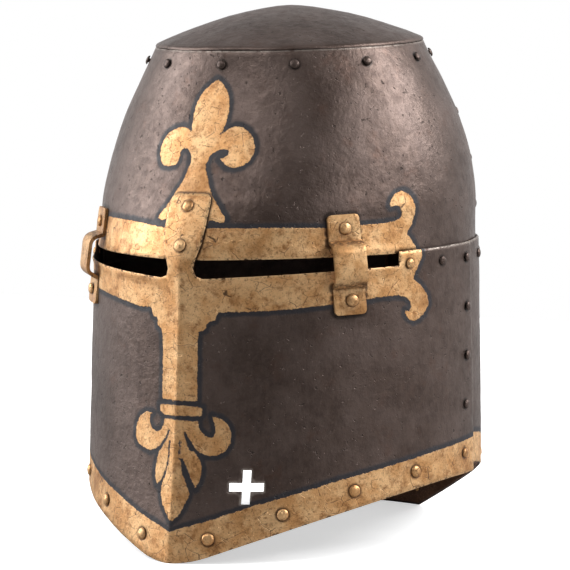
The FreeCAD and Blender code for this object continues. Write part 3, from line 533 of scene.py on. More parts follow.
rivetKinds = {
    "gilt": {"radius": 4.0, "rise": 2.2, "shank": 1.5},
    "dark": {"radius": 3.2, "rise": 1.8, "shank": 1.5},
    "liner": {"radius": 3.5, "rise": 1.2, "shank": 1.2},
}
rivetRows = {                                  # node: kind, look, finish slot
    "seam_rivets_front": ("dark", "steel", "blackened_steel"),
    "seam_rivets_back": ("dark", "steel", "blackened_steel"),
    "side_seam_rivets": ("dark", "steel", "blackened_steel"), "hem_rivets_front": ("gilt", "gilt", "gilding"),
    "hem_rivets_back": ("gilt", "gilt", "gilding"), "rim_rivets": ("dark", "iron", "dark_iron"),
    "nasal_rivets": ("gilt", "gilt", "gilding"), "upper_side_rivets": ("dark", "iron", "dark_iron"),
    "bridge_rivets_left": ("gilt", "gilt", "gilding"), "bridge_rivets_right": ("gilt", "gilt", "gilding"),
    "liner_rivets": ("liner", "brass", "brass"), "chin_strap_rivets": ("liner", "brass", "brass"),
    "fold_rivet": ("liner", "brass", "brass"),
}
spots = {node: rivetSpots(node, rivetKinds[row[0]]["rise"]) for node, row in rivetRows.items()}
heads3d = [(foot / mm, rivetKinds[rivetRows[node][0]]["radius"]) for node in spots for foot, _, _ in spots[node]
           if rivetRows[node][0] != "liner"]
farOff = {"edge": 9, "soil": 9, "bend": 0, "gilt": 60}   # what the shaders read where nothing is near


def rivetRimReach(points):                        # distance in mm to the rim of the nearest rivet head
    best = np.full(len(points), 30.0)
    for foot, radius in heads3d:
        best = np.minimum(best, np.maximum(np.linalg.norm(points - foot, axis=1) - radius * 0.96, 0))
    return best


def measures(mesh, **values):                 # one number for each point, for the shaders
    for name, value in values.items():
        spread = np.empty(len(mesh.vertices), np.float32)
        spread[:] = value
        mesh.attributes.new(name, "FLOAT", "POINT").data.foreach_set("value", spread)


def modify(made, kind, **settings):
    bpy.context.view_layer.objects.active = made
    made.select_set(True)
    step = made.modifiers.new(kind, kind)
    for name, value in settings.items():
        setattr(step, name, value)
    bpy.ops.object.modifier_apply(modifier=step.name)


def smooth(made, degrees):
    bpy.context.view_layer.objects.active = made
    made.select_set(True)
    bpy.ops.object.shade_smooth_by_angle(angle=math.radians(degrees))
    made.select_set(False)


def faceOut(mesh):
    bm = bmesh.new()
    bm.from_mesh(mesh)
    bmesh.ops.recalc_face_normals(bm, faces=bm.faces)
    bm.to_mesh(mesh)
    bm.free()


def meshObject(name, points, faces, look):
    mesh = bpy.data.meshes.new(name)
    mesh.from_pydata([tuple(p) for p in points], [], faces)
    made = bpy.data.objects.new(name, mesh)
    bpy.context.collection.objects.link(made)
    mesh.materials.append(looks[look])
    return made


def settle(made, body, node):
    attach(made, body)
    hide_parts(node)
    return made


# Sight bridges: a strap with a rounded hump, on its own frame read from the CAD node
bridgeWay = {"thick": 2.4, "share": 0.7, "corner": 3.0, "foot": 13.8, "crest": 10.4, "footRound": 2.6,
             "crestRound": 5.4, "across": 9, "crown": 0.25, "darkFoot": 2.4,
             "ends": (0, 0.02, 0.06, 0.12, 0.18, 0.4, 0.7)}
def roundedPath(points, radii, count=7):      # a bent line with its corners rounded
    path = [Vector(points[0])]
    for before, here, after, radius in zip(points, points[1:], points[2:], radii):
        here = Vector(here)
        a, b = Vector(before) - here, Vector(after) - here
        run = min(radius / math.tan(a.angle(b) / 2), a.length * 0.49, b.length * 0.49)
        start, end = here + a.normalized() * run, here + b.normalized() * run
        for i in range(count + 1):
            t = i / count
            path.append((1 - t) ** 2 * start + 2 * t * (1 - t) * here + t * t * end)
    return path + [Vector(points[-1])]

def buildBridge(node):
    way = bridgeWay
    group = np.concatenate(islands(node))
    centre = (group.min(0) + group.max(0)) / 2
    _, vectors = np.linalg.eigh(np.cov((group - group.mean(0)).T))
    out, wide, tall = (Vector(vectors[:, i]) for i in range(3))
    tall = tall if tall.z > 0 else -tall
    out = out if out.dot(Vector(centre - np.array([0, skin["forward"] * mm, centre[2]]))) > 0 else -out
    wide = tall.cross(out)
    spread = [(group @ np.array(axis)) for axis in (out, wide, tall)]
    low, high = [min(v) / mm for v in spread], [max(v) / mm for v in spread]
    rise = (high[0] - low[0] - way["thick"]) * way["share"]
    halfLong, halfWide = (high[2] - low[2]) / 2, (high[1] - low[1]) / 2
    half = [(way["crest"], rise), (way["foot"], 0), (halfLong, 0)]
    radii = [way["footRound"], way["crestRound"], way["crestRound"], way["footRound"]]
    path = roundedPath([(-x, z) for x, z in reversed(half)] + half, radii)
    fine = [path[0] + (path[1] - path[0]) * t for t in way["ends"]] + path[1:-1] \
        + [path[-1] + (path[-2] - path[-1]) * t for t in reversed(way["ends"])]
    bpy.ops.mesh.primitive_grid_add(x_subdivisions=len(fine) - 1, y_subdivisions=way["across"] - 1, size=2,
                                    location=(0, 0, 0))
    made = bpy.context.object
    made.name = made.data.name = node + "_strap"
    rows = sorted({round(v.co.x, 5) for v in made.data.vertices})
    for v in made.data.vertices:
        run, up = fine[min(range(len(rows)), key=lambda i: abs(rows[i] - v.co.x))]
        inset = way["corner"] - min(halfLong - abs(run), way["corner"])
        half = halfWide - way["corner"] + math.sqrt(max(way["corner"] ** 2 - inset ** 2, 0))
        v.co = Vector((run, v.co.y * half, up - (way["crown"] * v.co.y ** 2 if up > 1 else 0)))
    modify(made, "SOLIDIFY", thickness=way["thick"], offset=1, use_even_offset=True)
    modify(made, "BEVEL", width=0.6, segments=3, limit_method="ANGLE", angle_limit=math.radians(50))
    lowest = min(v.co.z for v in made.data.vertices)
    base = out * low[0] + wide * (low[1] + high[1]) / 2 + tall * (low[2] + high[2]) / 2
    bend = []
    for v in made.data.vertices:
        run, across, up = v.co.x, v.co.y, v.co.z - lowest
        # the bend measure peaks at the strap's foot bends, where the gilt is made darker
        bend.append(math.exp(-((abs(run) - way["foot"]) / way["darkFoot"]) ** 2))
        jog = noise.noise(Vector((run / 9, across / 9, 5))) * 0.25 - 0.25
        v.co = (base + tall * run + wide * across + out * (up + (jog if up > 1.2 else 0))) * mm
    faceOut(made.data)
    made.data.materials.append(looks["gilt"])
    points = np.array([tuple(v.co) for v in made.data.vertices]) / mm
    # the distance to the rivet rims carries the painted contact shade and grime
    measures(made.data, bend=bend, edge=farOff["edge"], soil=rivetRimReach(points))
    smooth(made, 40)
    settle(made, "helm", node)
    return points


bridgePoints = np.concatenate([buildBridge("sight_bridge_" + side) for side in ("left", "right")])
strapTree = kdtree.KDTree(len(bridgePoints))
for i, p in enumerate(bridgePoints):
    strapTree.insert(Vector(p), i)
strapTree.balance()
print("bridges done")


def contactReach(points):                      # distance to whatever lies on the plate
    best = rivetRimReach(points)
    x, y, z = np.abs(points[:, 0]), points[:, 1], points[:, 2]
    near = (x > 76) & (x < 116) & (y < -50) & (z > 148) & (z < 228)   # where the straps can be
    for i in np.nonzero(near)[0]:
        best[i] = min(best[i], max(strapTree.find(Vector(points[i]))[2] - 1.4, 0))
    return best


def smoothLine(points, step):                 # points round a closed line, no further apart than step
    out = []
    for p, q in zip(points, points[1:] + points[:1]):
        n = max(1, int(math.ceil(math.dist(p, q) / step)))
        out += [(p[0] + (q[0] - p[0]) * i / n, p[1] + (q[1] - p[1]) * i / n) for i in range(n)]
    return out


def dentAt(u, z):
    high, wide, low, small = skin["dents"]
    large = np.array([noise.noise(Vector((a / wide, b / wide, 3.1))) for a, b in zip(u, z)])
    fine = np.array([noise.noise(Vector((a / small, b / small, 7.7))) for a, b in zip(u, z)])
    return high * large + low * fine - high - low * 0.8


# Plates, made flat on the unrolled skin and then laid on it. Fine and coarse are each a spacing of points and how
# far they keep off the border; the fine points lie along rivets, straps and the gilding's outline
plateWay = {"fine": (1.25, 1.2), "coarse": (3.4, 2.2), "close": 4, "border": 0.7, "round": 0.55, "keelStep": 1.4,
            "keelOut": (1.3, 3.0), "shade": 50}


def platePoints(loops, place, layer, giltReach):
    edges, points = [], []
    for loop in loops:
        first = len(points)
        points += loop
        edges += [(first + i, first + (i + 1) % len(loop)) for i in range(len(loop))]
    box = np.array(points)
    if place is frontPlace:                   # a line of points keeps the keel straight
        middle = box[np.abs(box[:, 0]) < 3, 1]
        rise = [float(z) for z in np.arange(middle.min() + 1.5, middle.max() - 1.5, plateWay["keelStep"])]
        edges += [(len(points) + i, len(points) + i + 1) for i in range(len(rise) - 1)]
        near, far = plateWay["keelOut"]
        points += [(0.0, z) for z in rise] + [(side * near, z) for z in rise for side in (-1, 1)] \
            + [(side * far, z) for z in rise[::2] for side in (-1, 1)]
    low, high = box.min(0), box.max(0)
    for step, keep in (plateWay["fine"], plateWay["coarse"]):
        rows = np.arange(low[1], high[1], step * 0.87)
        columns = np.arange(low[0], high[0], step)
        found = np.array([(x + (i % 2) * step / 2, z) for i, z in enumerate(rows) for x in columns])
        close = np.abs(giltReach(found)) if giltReach else np.full(len(found), 99.0)
        close = np.minimum(close, contactReach(onSkin(place(found[:, 0], found[:, 1]), found[:, 1], layer)) + 1)
        found = found[(close < plateWay["close"]) == (step == plateWay["fine"][0])]
        found = found[np.abs(found[:, 0]) > 4] if place is frontPlace else found
        inside, reach = insideLoops(found, loops)
        points += [tuple(p) for p in found[inside & (reach > keep)]]
    ring = []
    for loop in loops:                        # a second line just inside the border carries the rounded edge
        pairs = list(zip(loop, loop[1:] + loop[:1]))
        area = sum(p[0] * q[1] - q[0] * p[1] for p, q in pairs)
        turn = (1 if area > 0 else -1) * (1 if loop is loops[0] else -1)
        for p, q in pairs:
            step = Vector((q[0] - p[0], q[1] - p[1]))
            if step.length > 0.3:
                away = Vector((-step.y, step.x)).normalized() * plateWay["border"] * turn
                ring.append(((p[0] + q[0]) / 2 + away.x, (p[1] + q[1]) / 2 + away.y))
    ring = np.array(ring)
    inside, reach = insideLoops(ring, loops)
    return points + [tuple(p) for p in ring[inside & (reach > 0.5)]], edges


def plateFaces(points, edges, loops):
    flat, _, faces, *_ = delaunay_2d_cdt([Vector(p) for p in points], edges, [], 0, 1e-5)
    flat = np.array([tuple(p) for p in flat])
    faces = np.array([f for f in faces if len(f) == 3])
    faces = faces[insideLoops(flat[faces].mean(1), loops)[0]]
    used, faces = np.unique(faces, return_inverse=True)
    flat, faces = flat[used], faces.reshape(-1, 3)
    a, b, c = (flat[faces[:, i]] for i in range(3))
    flip = (b[:, 0] - a[:, 0]) * (c[:, 1] - a[:, 1]) - (b[:, 1] - a[:, 1]) * (c[:, 0] - a[:, 0]) < 0
    faces[flip] = faces[flip][:, ::-1]
    return flat, faces


def plate(name, node, loops, place, way, giltReach, look, lip=None, lapped=None):
    layer = way["layer"]
    flat, faces = plateFaces(*platePoints(loops, place, layer, giltReach), loops)
    _, reach = insideLoops(flat, loops)
    u, count = place(flat[:, 0], flat[:, 1]), len(flat)
    shift = dentAt(u, flat[:, 1])
    if place is frontPlace:
        shift = shift + np.interp(flat[:, 1], *zip(*skin["ridge"])) * np.exp(-np.abs(u) / skin["ridgeReach"])
    if lip:                                   # the plate is raised a little along its side of the slit
        line, rise, wide = lip
        close, _ = segmentReach(np.stack([np.abs(flat[:, 0]), flat[:, 1]], 1), line, False)
        shift = shift + rise * np.clip(1 - close / wide, 0, 1) ** 2
    rounded = np.clip(1 - reach / plateWay["border"], 0, 1) * plateWay["round"]
    outer = onSkin(u, flat[:, 1], layer, rounded - shift) * mm
    inner = onSkin(u, flat[:, 1], layer, skin["thick"] - rounded - shift) * mm
    # distances to rivets, straps and laps, which carry the painted contact shade and grime
    soil = contactReach(outer / mm)
    if lapped is not None:
        soil = np.minimum(soil, lapped(flat))
    sides = {side: True for f in faces for side in ((f[0], f[1]), (f[1], f[2]), (f[2], f[0]))}
    walls = [(q, p, p + count, q + count) for p, q in sides if (q, p) not in sides]
    allFaces = [tuple(int(i) for i in f) for f in [*faces, *(faces[:, ::-1] + count), *walls]]
    made = meshObject(name, np.concatenate([outer, inner]), allFaces, look)
    gilt = giltReach(flat) if giltReach else np.full(count, farOff["gilt"])
    measures(made.data, gilt=np.append(gilt, np.full(count, farOff["gilt"])), edge=np.append(reach, reach + 30),
             soil=np.append(soil, np.full(count, farOff["soil"])), bend=farOff["bend"])
    faceOut(made.data)
    smooth(made, plateWay["shade"])
    print(name, len(made.data.polygons), "faces")
    return settle(made, "helm", node)


faceWay = {"layer": ((0, 0, 0), (0, 0, 0)), "rear": 13, "shoulder": 194, "slitOut": (115, 185),
           "slitIn": (15.3, 179),
           "neck": [(15.3, 179), (10.8, 180.6), (9.3, 185), (10.2, 189), (11.1, 192), (14.2, 201.5), (15, 212),
                    (15, 226), (14.2, 229.6), (12, 231.6), (9, 232)],
           "hem": (0.375, 72, 25.28, 4.58), "hemOut": 131.5, "cross": (47.3, 48.4, 11.1, 10.7, 2.7),
           "lip": ([(15.3, 179), (65, 182), (115, 185)], 1.0, 4.5)}


def hemAt(x):
    slope, radius, reach, rise = faceWay["hem"]
    point = radius - np.sqrt(np.maximum(radius ** 2 - np.minimum(x, reach) ** 2, 0))
    return np.where(x < reach, point, rise + slope * (x - reach))


def faceLoops():
    hem = widthLine([(x, float(hemAt(np.array(x)))) for x in np.linspace(faceWay["hemOut"], 0, 150)])
    rear = depthLine(faceWay["rear"], np.linspace(faceWay["shoulder"] + 2.1, 52, 60))
    rear = [p for p in rear if p[1] > np.interp(p[0], *zip(*hem[::-1])) + 0.5 and p[1] > hem[0][1] + 3]
    tail = depthLine(faceWay["rear"], [hem[0][1] + 0.4])
    slit = widthLine(np.linspace(faceWay["slitIn"], faceWay["slitOut"], 50))
    shoulder = widthLine([(faceWay["slitOut"][0], faceWay["shoulder"])])
    outline = widthLine(faceWay["neck"][1:])[::-1] + slit + shoulder + rear + tail + hem
    cu, cz, cw, ch, cb = faceWay["cross"]
    half = [(cb, cb), (cb, ch), (-cb, ch), (-cb, cb), (-cw, cb), (-cw, -cb)]
    hole = [(cu + side * x, cz + side * h) for side in (1, -1) for x, h in half]
    return [smoothLine(outline + mirrored(outline), 2.2), smoothLine(hole, 1.2)]


def lipLine(way):
    line, rise, wide = way["lip"]
    return widthLine(line), rise, wide


plate("facePlate", "face_plate", faceLoops(), frontPlace, faceWay,
      lambda p: frontGilt(p, ("cross", "collar", "lowerFleur"), True), "painted", lipLine(faceWay))

browWay = {"layer": ((1, 2, 2), (1, 1, 1)), "rear": 76, "low": (190.5, 192.5), "step": (119, 176), "top": 327.5,
           "rim": (321.5, 86.6, 2.5), "lip": ([(14, 190.8), (65, 191.6), (116, 192.4)], 0.9, 4.5)}


def rimAt(u, layer):                          # height of the rim plane on the skin
    high, forward, tilt = browWay["rim"]
    z = np.full_like(np.asarray(u, float), high)
    for _ in range(8):
        z = high + (onSkin(u, z, layer)[..., 1] - skin["forward"] + forward) * math.tan(math.radians(tilt))
    return z


def browLoops():
    (wide, down), (first, last) = browWay["step"], browWay["low"]
    low = widthLine([(x, first + (last - first) * x / wide) for x in np.linspace(0, wide, 60)] + [(wide, down)])
    rear = depthLine(browWay["rear"], np.linspace(down, browWay["top"], 70))
    top = float(rimAt(np.array(rear[-1][0]), browWay["layer"]))
    us = np.linspace(float(atDepth(browWay["rear"], top)), 0, 120)
    rim = list(zip(us.tolist(), rimAt(us, browWay["layer"]).tolist()))
    half = low + [p for p in rear if p[1] < top - 1] + rim
    return [smoothLine(half + mirrored(half), 2.4)]


tabLine = widthLine(faceWay["neck"])
tabLine = tabLine + mirrored(tabLine)
shoulderFrom = float(atWidth(faceWay["slitOut"][0], faceWay["shoulder"])) - 2


def browLap(points):                          # how far the face plate's tab and shoulder lie from each point
    reach, inside = segmentReach(points, tabLine, True)
    below = np.maximum(points[:, 1] - faceWay["shoulder"], 0)
    shoulder = np.where(np.abs(points[:, 0]) > shoulderFrom, below, 30)
    return np.minimum(np.where(inside, 0, reach), shoulder)


plate("browPlate", "brow_plate", browLoops(), frontPlace, browWay,
      lambda p: frontGilt(p, ("cross", "upperFleur")), "painted", lipLine(browWay), browLap)

lowerBackWay = {"layer": ((1, 1, 1), (1, 1, 1)), "front": -9, "top": 196.5, "sideTop": 193.6, "flat": 42,
                "rise": 50 / 90.5, "band": 20, "shoulder": ((14, 195.6), (34, 196.5))}
upperBackWay = {"layer": ((2, 3.3, 2.7), (2, 2.3, 1.9)), "low": 176, "front": 54, "top": 330}


def backReach(depth, h):                      # along the skin from the back's middle to a depth
    return float(wholeRound(h) - atDepth(depth, h))


def backHemAt(v):                             # height of the back's hem, v along from the back's middle
    z = np.zeros_like(v)
    for _ in range(8):
        x = onSkin(backPlace(v, z), z)[..., 0]
        z = np.maximum(0, (np.abs(x) - lowerBackWay["flat"]) * lowerBackWay["rise"])
    return z


def lowerBackLoops():
    front = lowerBackWay["front"]
    foot = float(backHemAt(np.array([backReach(front, 50.0)]))[0])
    v = np.linspace(-backReach(front, foot), backReach(front, foot), 220)
    low = list(zip(v.tolist(), backHemAt(v).tolist()))
    side = [(backReach(front, h), float(h)) for h in np.linspace(foot + 2, lowerBackWay["sideTop"], 60)]
    side += [(backReach(y, h), h) for y, h in lowerBackWay["shoulder"]]
    return [smoothLine(low + side + [(-a, h) for a, h in reversed(side)], 3.2)]


def upperBackLoops():
    def topAt(a):
        return float(rimAt(backPlace(np.array([a]), np.array([325.0])), upperBackWay["layer"])[0])

    front, foot = upperBackWay["front"], upperBackWay["low"]
    v = np.linspace(-backReach(front, foot), backReach(front, foot), 120)
    side = [(backReach(front, h), float(h)) for h in np.linspace(foot, upperBackWay["top"], 70)[1:]]
    side = [p for p in side if p[1] < topAt(p[0]) - 1]
    end = backReach(front, topAt(side[-1][0]))
    rim = [(a, topAt(a)) for a in np.linspace(end, -end, 90).tolist()]
    low = [(a, float(foot)) for a in v.tolist()]
    return [smoothLine(low + side + rim + [(-a, h) for a, h in reversed(side)], 3.2)]


plate("lowerBackPlate", "lower_back_plate", lowerBackLoops(), backPlace, lowerBackWay,
      lambda p: (p[:, 1] - backHemAt(p[:, 0]) - lowerBackWay["band"]) * 0.93, "painted")
plate("upperBackPlate", "upper_back_plate", upperBackLoops(), backPlace, upperBackWay, None, "steel")

crownWay = {"layer": ((2, 3.35, 3), (2, 3.35, 3)), "flange": 16, "rise": 24.2, "sides": 240, "marksFrom": 322,
            "rim": ((1, 1, 1), (1, 1, 1)), "ledge": 0.35, "sink": 0.15,
            "dome": [(0.995, 0.035), (0.98, 0.07), (0.94, 0.13), (0.88, 0.22), (0.8, 0.33), (0.7, 0.46),
                     (0.58, 0.6), (0.45, 0.74), (0.32, 0.85), (0.2, 0.93), (0.1, 0.98), (0.03, 1.0)]}


def crownShell(depth):                        # rings of points from the flange's foot to the top
    rings, outside = [], depth == 0
    v = np.arange(crownWay["sides"]) / crownWay["sides"] * 2 - 1
    u = v * float(wholeRound(browWay["rim"][0]))
    for drop in np.linspace(crownWay["flange"], 0, 7):
        z = rimAt(u, crownWay["layer"]) - drop
        rings.append(onSkin(v * wholeRound(z), z, crownWay["layer"], depth))
    z = rimAt(u, crownWay["rim"])
    edge = onSkin(v * wholeRound(z), z, crownWay["rim"], crownWay["sink"] + depth * 0.6)
    edge[:, 2] += crownWay["ledge"] + (skin["thick"] * 0.5 if outside else 0) - depth * 0.1
    low = edge.copy()
    if outside:
        low[:, 2] -= 0.8
    rings += [low, edge] if outside else [low]
    middle = edge.mean(0)
    for wide, high in crownWay["dome"]:
        ring = middle + (edge - middle) * wide
        ring[:, 2] = edge[:, 2] * wide + middle[2] * (1 - wide) + (crownWay["rise"] - depth) * high
        rings.append(ring)
    return rings, middle


def buildCrown():
    points, faces, sides = [], [], crownWay["sides"]
    for depth in (0.0, skin["thick"]):
        rings, middle = crownShell(depth)
        start, last = len(points), len(points) + (len(rings) - 1) * sides
        points += [tuple(p) for ring in rings for p in ring] + [(middle[0], middle[1], rings[-1][:, 2].mean())]
        shell = [(a + i, a + (i + 1) % sides, a + sides + (i + 1) % sides, a + sides + i)
                 for a in range(start, last, sides) for i in range(sides)]
        shell += [(last + i, last + (i + 1) % sides, last + sides) for i in range(sides)]
        faces += [f[::-1] for f in shell] if depth else shell
    faces += [(i, start + i, start + (i + 1) % sides, (i + 1) % sides) for i in range(sides)]
    points = np.array(points)
    for i, p in enumerate(points):            # hammer marks, always inwards
        if p[2] > crownWay["marksFrom"]:
            points[i, 2] += noise.noise(Vector(p) / 24) * 0.5 + noise.noise(Vector(p) / 8) * 0.22 - 0.6
    made = meshObject("crownPlate", points * mm, faces, "steel")
    measures(made.data, **farOff)
    faceOut(made.data)
    smooth(made, plateWay["shade"])
    return settle(made, "helm", "crown_plate")


buildCrown()
print("plates done")


# Pieces finished from the CAD solid: its edges are rounded, and soft ones are subdivided
def dressed(node, body, look, width=0.4, rounds=2, angle=30, soften=0):
    source = bpy.data.objects[node]
    made = bpy.data.objects.new(node + "_dressed", source.data.copy())
    made.data.transform(source.matrix_world)
    bpy.context.collection.objects.link(made)
    bm = bmesh.new()
    bm.from_mesh(made.data)
    bmesh.ops.remove_doubles(bm, verts=bm.verts, dist=0.00002)
    if soften:
        bmesh.ops.join_triangles(bm, faces=bm.faces, angle_face_threshold=math.radians(4),
                                 angle_shape_threshold=math.radians(170))
    else:
        bmesh.ops.dissolve_limit(bm, angle_limit=math.radians(3), verts=bm.verts, edges=bm.edges)
    bmesh.ops.recalc_face_normals(bm, faces=bm.faces)
    bm.to_mesh(made.data)
    bm.free()
    made.data.materials.clear()
    made.data.materials.append(looks[look])
    modify(made, "BEVEL", width=width * mm, segments=rounds, limit_method="ANGLE",
           angle_limit=math.radians(angle))
    if soften:
        modify(made, "SUBSURF", levels=soften, render_levels=soften)
    smooth(made, 60 if soften else 35)
    return settle(made, body, node)


# Rivets: one hammered head of each kind, copied to every place its CAD node has
def rivetHead(kind):                          # a domed head with a small rim, standing on its own shank
    way = rivetKinds[kind]
    bpy.ops.mesh.primitive_uv_sphere_add(segments=24, ring_count=14, radius=1, location=(0, 0, 0))
    made = bpy.context.object
    bpy.ops.object.mode_set(mode="EDIT")
    bpy.ops.mesh.select_all(action="SELECT")
    bpy.ops.mesh.bisect(plane_co=(0, 0, 0), plane_no=(0, 0, -1), clear_outer=True, use_fill=True)
    bpy.ops.mesh.select_all(action="DESELECT")
    bpy.ops.object.mode_set(mode="OBJECT")
    rim = way["rise"] * 0.1
    for v in made.data.vertices:
        onRim = math.hypot(v.co.x, v.co.y) > 0.999
        high = (v.co.z ** 0.9 if v.co.z > 0 else 0) * way["rise"] * 0.9 + rim
        v.co = (v.co.x * way["radius"], v.co.y * way["radius"], min(high, rim) if onRim else high)
    faceOut(made.data)
    for face in made.data.polygons:
        face.select = face.normal.z < -0.9
    bpy.ops.object.mode_set(mode="EDIT")
    bpy.ops.mesh.extrude_region_move(TRANSFORM_OT_translate={"value": (0, 0, -rim)})
    bpy.ops.mesh.inset(thickness=way["radius"] - way["shank"], depth=0)
    bpy.ops.mesh.extrude_region_move(TRANSFORM_OT_translate={"value": (0, 0, -4)})
    bpy.ops.object.mode_set(mode="OBJECT")
    made.select_set(False)
    return made


giltAlso = {"seam_rivets_front": lambda p: abs(p[0]) < 123 and p[2] > 100,
            "side_seam_rivets": lambda p: p[2] < 65}


def rivetRow(node, kind, look):
    joined, shades = bmesh.new(), []
    for foot, axis, reach in spots[node]:
        foot, axis = Vector(foot), Vector(axis)
        turn = axis.to_track_quat("Z", "Y").to_matrix().to_4x4()
        turn = turn @ Matrix.Rotation(random.uniform(0, 6.28), 4, "Z")
        uneven = [random.uniform(low, high) for low, high in ((0.94, 1.0), (0.9, 1.0), (0.9, 0.99))]
        copy = heads[kind].data.copy()
        for v in copy.vertices:
            if v.co.z < -1:
                v.co.z = -reach
            elif v.co.z > 0.2:
                jog = noise.noise(v.co * 0.5 + foot * 700) * 0.4
                v.co.z = max(0.1, v.co.z + min(jog, 0))
        copy.transform(Matrix.Translation(foot) @ turn @ Matrix.Diagonal((*(mm * x for x in uneven), 1)))
        joined.from_mesh(copy)
        shades += [1 if node in giltAlso and giltAlso[node](foot / mm) else 0] * len(copy.polygons)
        bpy.data.meshes.remove(copy)
    made = meshObject(node + "_heads", [], [], look)
    joined.to_mesh(made.data)
    joined.free()
    made.data.materials.append(looks["gilt"])
    made.data.polygons.foreach_set("material_index", shades)
    measures(made.data, **farOff)
    smooth(made, 40)
    settle(made, "helm", node)


heads = {kind: rivetHead(kind) for kind in rivetKinds}
for node, (kind, look, slotName) in rivetRows.items():
    rivetRow(node, kind, look)
for model in heads.values():
    bpy.data.objects.remove(model)
print("rivets done")

# Leather inside, with its stitches: rows of the band and the cap are heights, a strap's are off its middle
stitchWay = {"length": 4.2, "thick": 0.55, "sink": 0.12, "bandRow": 228.5, "capRow": 245.5, "round": 104,
             "pitch": 6.4, "strapRows": (-7.6, 7.6), "strapEnds": (14, 24), "strapFrom": 60}


def stitchModel():                            # one saddle stitch, pulled in at both ends
    bpy.ops.mesh.primitive_uv_sphere_add(segments=8, ring_count=6, radius=1, location=(0, 0, 0))
    made = bpy.context.object
    made.data.transform(Matrix.Rotation(math.radians(90), 4, "Y"))
    long, thick = stitchWay["length"] / 2, stitchWay["thick"]
    for v in made.data.vertices:
        v.co = Vector((v.co.x * long, v.co.y * thick, v.co.z * thick - 0.35 * v.co.x ** 2)) * mm
    for face in made.data.polygons:
        face.material_index, face.use_smooth = 1, True
    made.select_set(False)
    return made


def stitch(made, rows):                       # each row: from a point, looking outwards, and the seam's way
    mesh = made.data
    tree = BVHTree.FromPolygons([v.co for v in mesh.vertices], [tuple(f.vertices) for f in mesh.polygons])
    proud = (stitchWay["thick"] - stitchWay["sink"]) * mm * 0.5
    bm = bmesh.new()
    bm.from_mesh(mesh)
    for origin, look, seam in rows:
        look, seam = Vector(look), Vector(seam)
        hit, normal, _, _ = tree.ray_cast(Vector(origin) * mm, look)
        if hit is None:
            continue
        normal = normal if normal.dot(look) < 0 else -normal
        ahead = (seam - normal * normal.dot(seam)).normalized()
        turn = Matrix((ahead, normal.cross(ahead), normal)).transposed().to_4x4()
        copy = oneStitch.data.copy()
        copy.transform(Matrix.Translation(hit + normal * proud) @ turn)
        bm.from_mesh(copy)
        bpy.data.meshes.remove(copy)
    mesh.materials.append(looks["thread"])
    bm.to_mesh(mesh)
    bm.free()


oneStitch = stitchModel()
softened = {"liner_band": 2}
leather = {node: dressed(node, "helm", "harness", soften=softened.get(node, 0))
           for node in ("hem_strip_front", "hem_strip_back", "liner_hangers", "liner_band", "chin_strap_left",
                        "chin_strap_right", "strap_keeper")}
leather["liner_cap"] = dressed("liner_cap", "helm", "soft", angle=50, soften=2)
turns = [math.tau * i / stitchWay["round"] for i in range(stitchWay["round"])]
for node, row in (("liner_band", "bandRow"), ("liner_cap", "capRow")):
    start = (0, skin["forward"], stitchWay[row])
    stitch(leather[node], [(start, (math.cos(t), math.sin(t), 0), (-math.sin(t), math.cos(t), 0)) for t in turns])
for node, side in (("chin_strap_left", -1), ("chin_strap_right", 1)):
    low, high = [corner[2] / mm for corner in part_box(node)]
    foot, spare = stitchWay["strapEnds"]
    heights = [low + foot + i * stitchWay["pitch"] for i in range(int((high - low - spare) / stitchWay["pitch"]))]
    stitch(leather[node], [((side * stitchWay["strapFrom"], skin["forward"] + across, h), (side, 0, 0), (0, 0, 1))
                           for h in heights for across in stitchWay["strapRows"]])
bpy.data.objects.remove(oneStitch)
dressed("buckle_frame", "buckle_frame", "brass", 0.5, 3, 25)
dressed("buckle_tongue", "buckle_tongue", "brass", 0.4, 3, 25)

laceWay = {"strand": 0.6375, "orbit": 0.62, "turns": 34, "points": 720, "sides": 8}


def buildLace():                              # three strands laid round each other, in a closed ring
    low, high = [Vector(corner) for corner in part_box("liner_lace")]
    middle, half = (low + high) / 2, (high - low) / 2
    around, sides, up = laceWay["points"], laceWay["sides"], Vector((0, 0, 1))
    points, faces = [], []
    for strand in range(3):
        start = len(points)
        for i in range(around):
            t = i / around * math.tau
            turn = laceWay["turns"] * t + strand * math.tau / 3
            away = Vector((math.cos(t), math.sin(t), 0))
            core = middle + Vector(((half.x - half.z) * away.x, (half.y - half.z) * away.y, 0)) \
                + (away * math.cos(turn) + up * math.sin(turn)) * laceWay["orbit"] * mm
            points += [core + (away * math.cos(a) + up * math.sin(a)) * laceWay["strand"] * mm
                       for a in (s / sides * math.tau for s in range(sides))]
        for i in range(around):
            here, there = start + i * sides, start + (i + 1) % around * sides
            faces += [(here + s, there + s, there + (s + 1) % sides, here + (s + 1) % sides)
                      for s in range(sides)]
    made = meshObject("laceRing", points, faces, "lace")
    faceOut(made.data)
    made.data.shade_smooth()
    settle(made, "helm", "liner_lace")


buildLace()
print("leather, lace and buckle done")

stageWay = {"floor": 2.6, "tone": 0.9, "bounce": 0.4, "lift": 0.55}
bpy.ops.mesh.primitive_plane_add(size=stageWay["floor"], location=(0, 0, 0))
floor = bpy.context.object
floor.name = "floor"


def grey(value):
    return [value] * 3 + [1]


def floorLook(place):                         # the lift keeps the floor white to the camera, its shadow stays
    seen = place.node("LightPath", None, None, 0)
    pale = place.grain(60, 2).mix(grey(stageWay["tone"]), grey(stageWay["tone"] + 0.02))
    return {"Base Color": seen.mix(grey(stageWay["bounce"]), pale),
            "Emission Color": seen.mix(grey(0), grey(stageWay["lift"]))}


paleFloor = finish("pale floor", floorLook, Roughness=0.9, Specular_IOR_Level=0.1, Emission_Strength=1.0)
floor.data.materials.append(paleFloor)

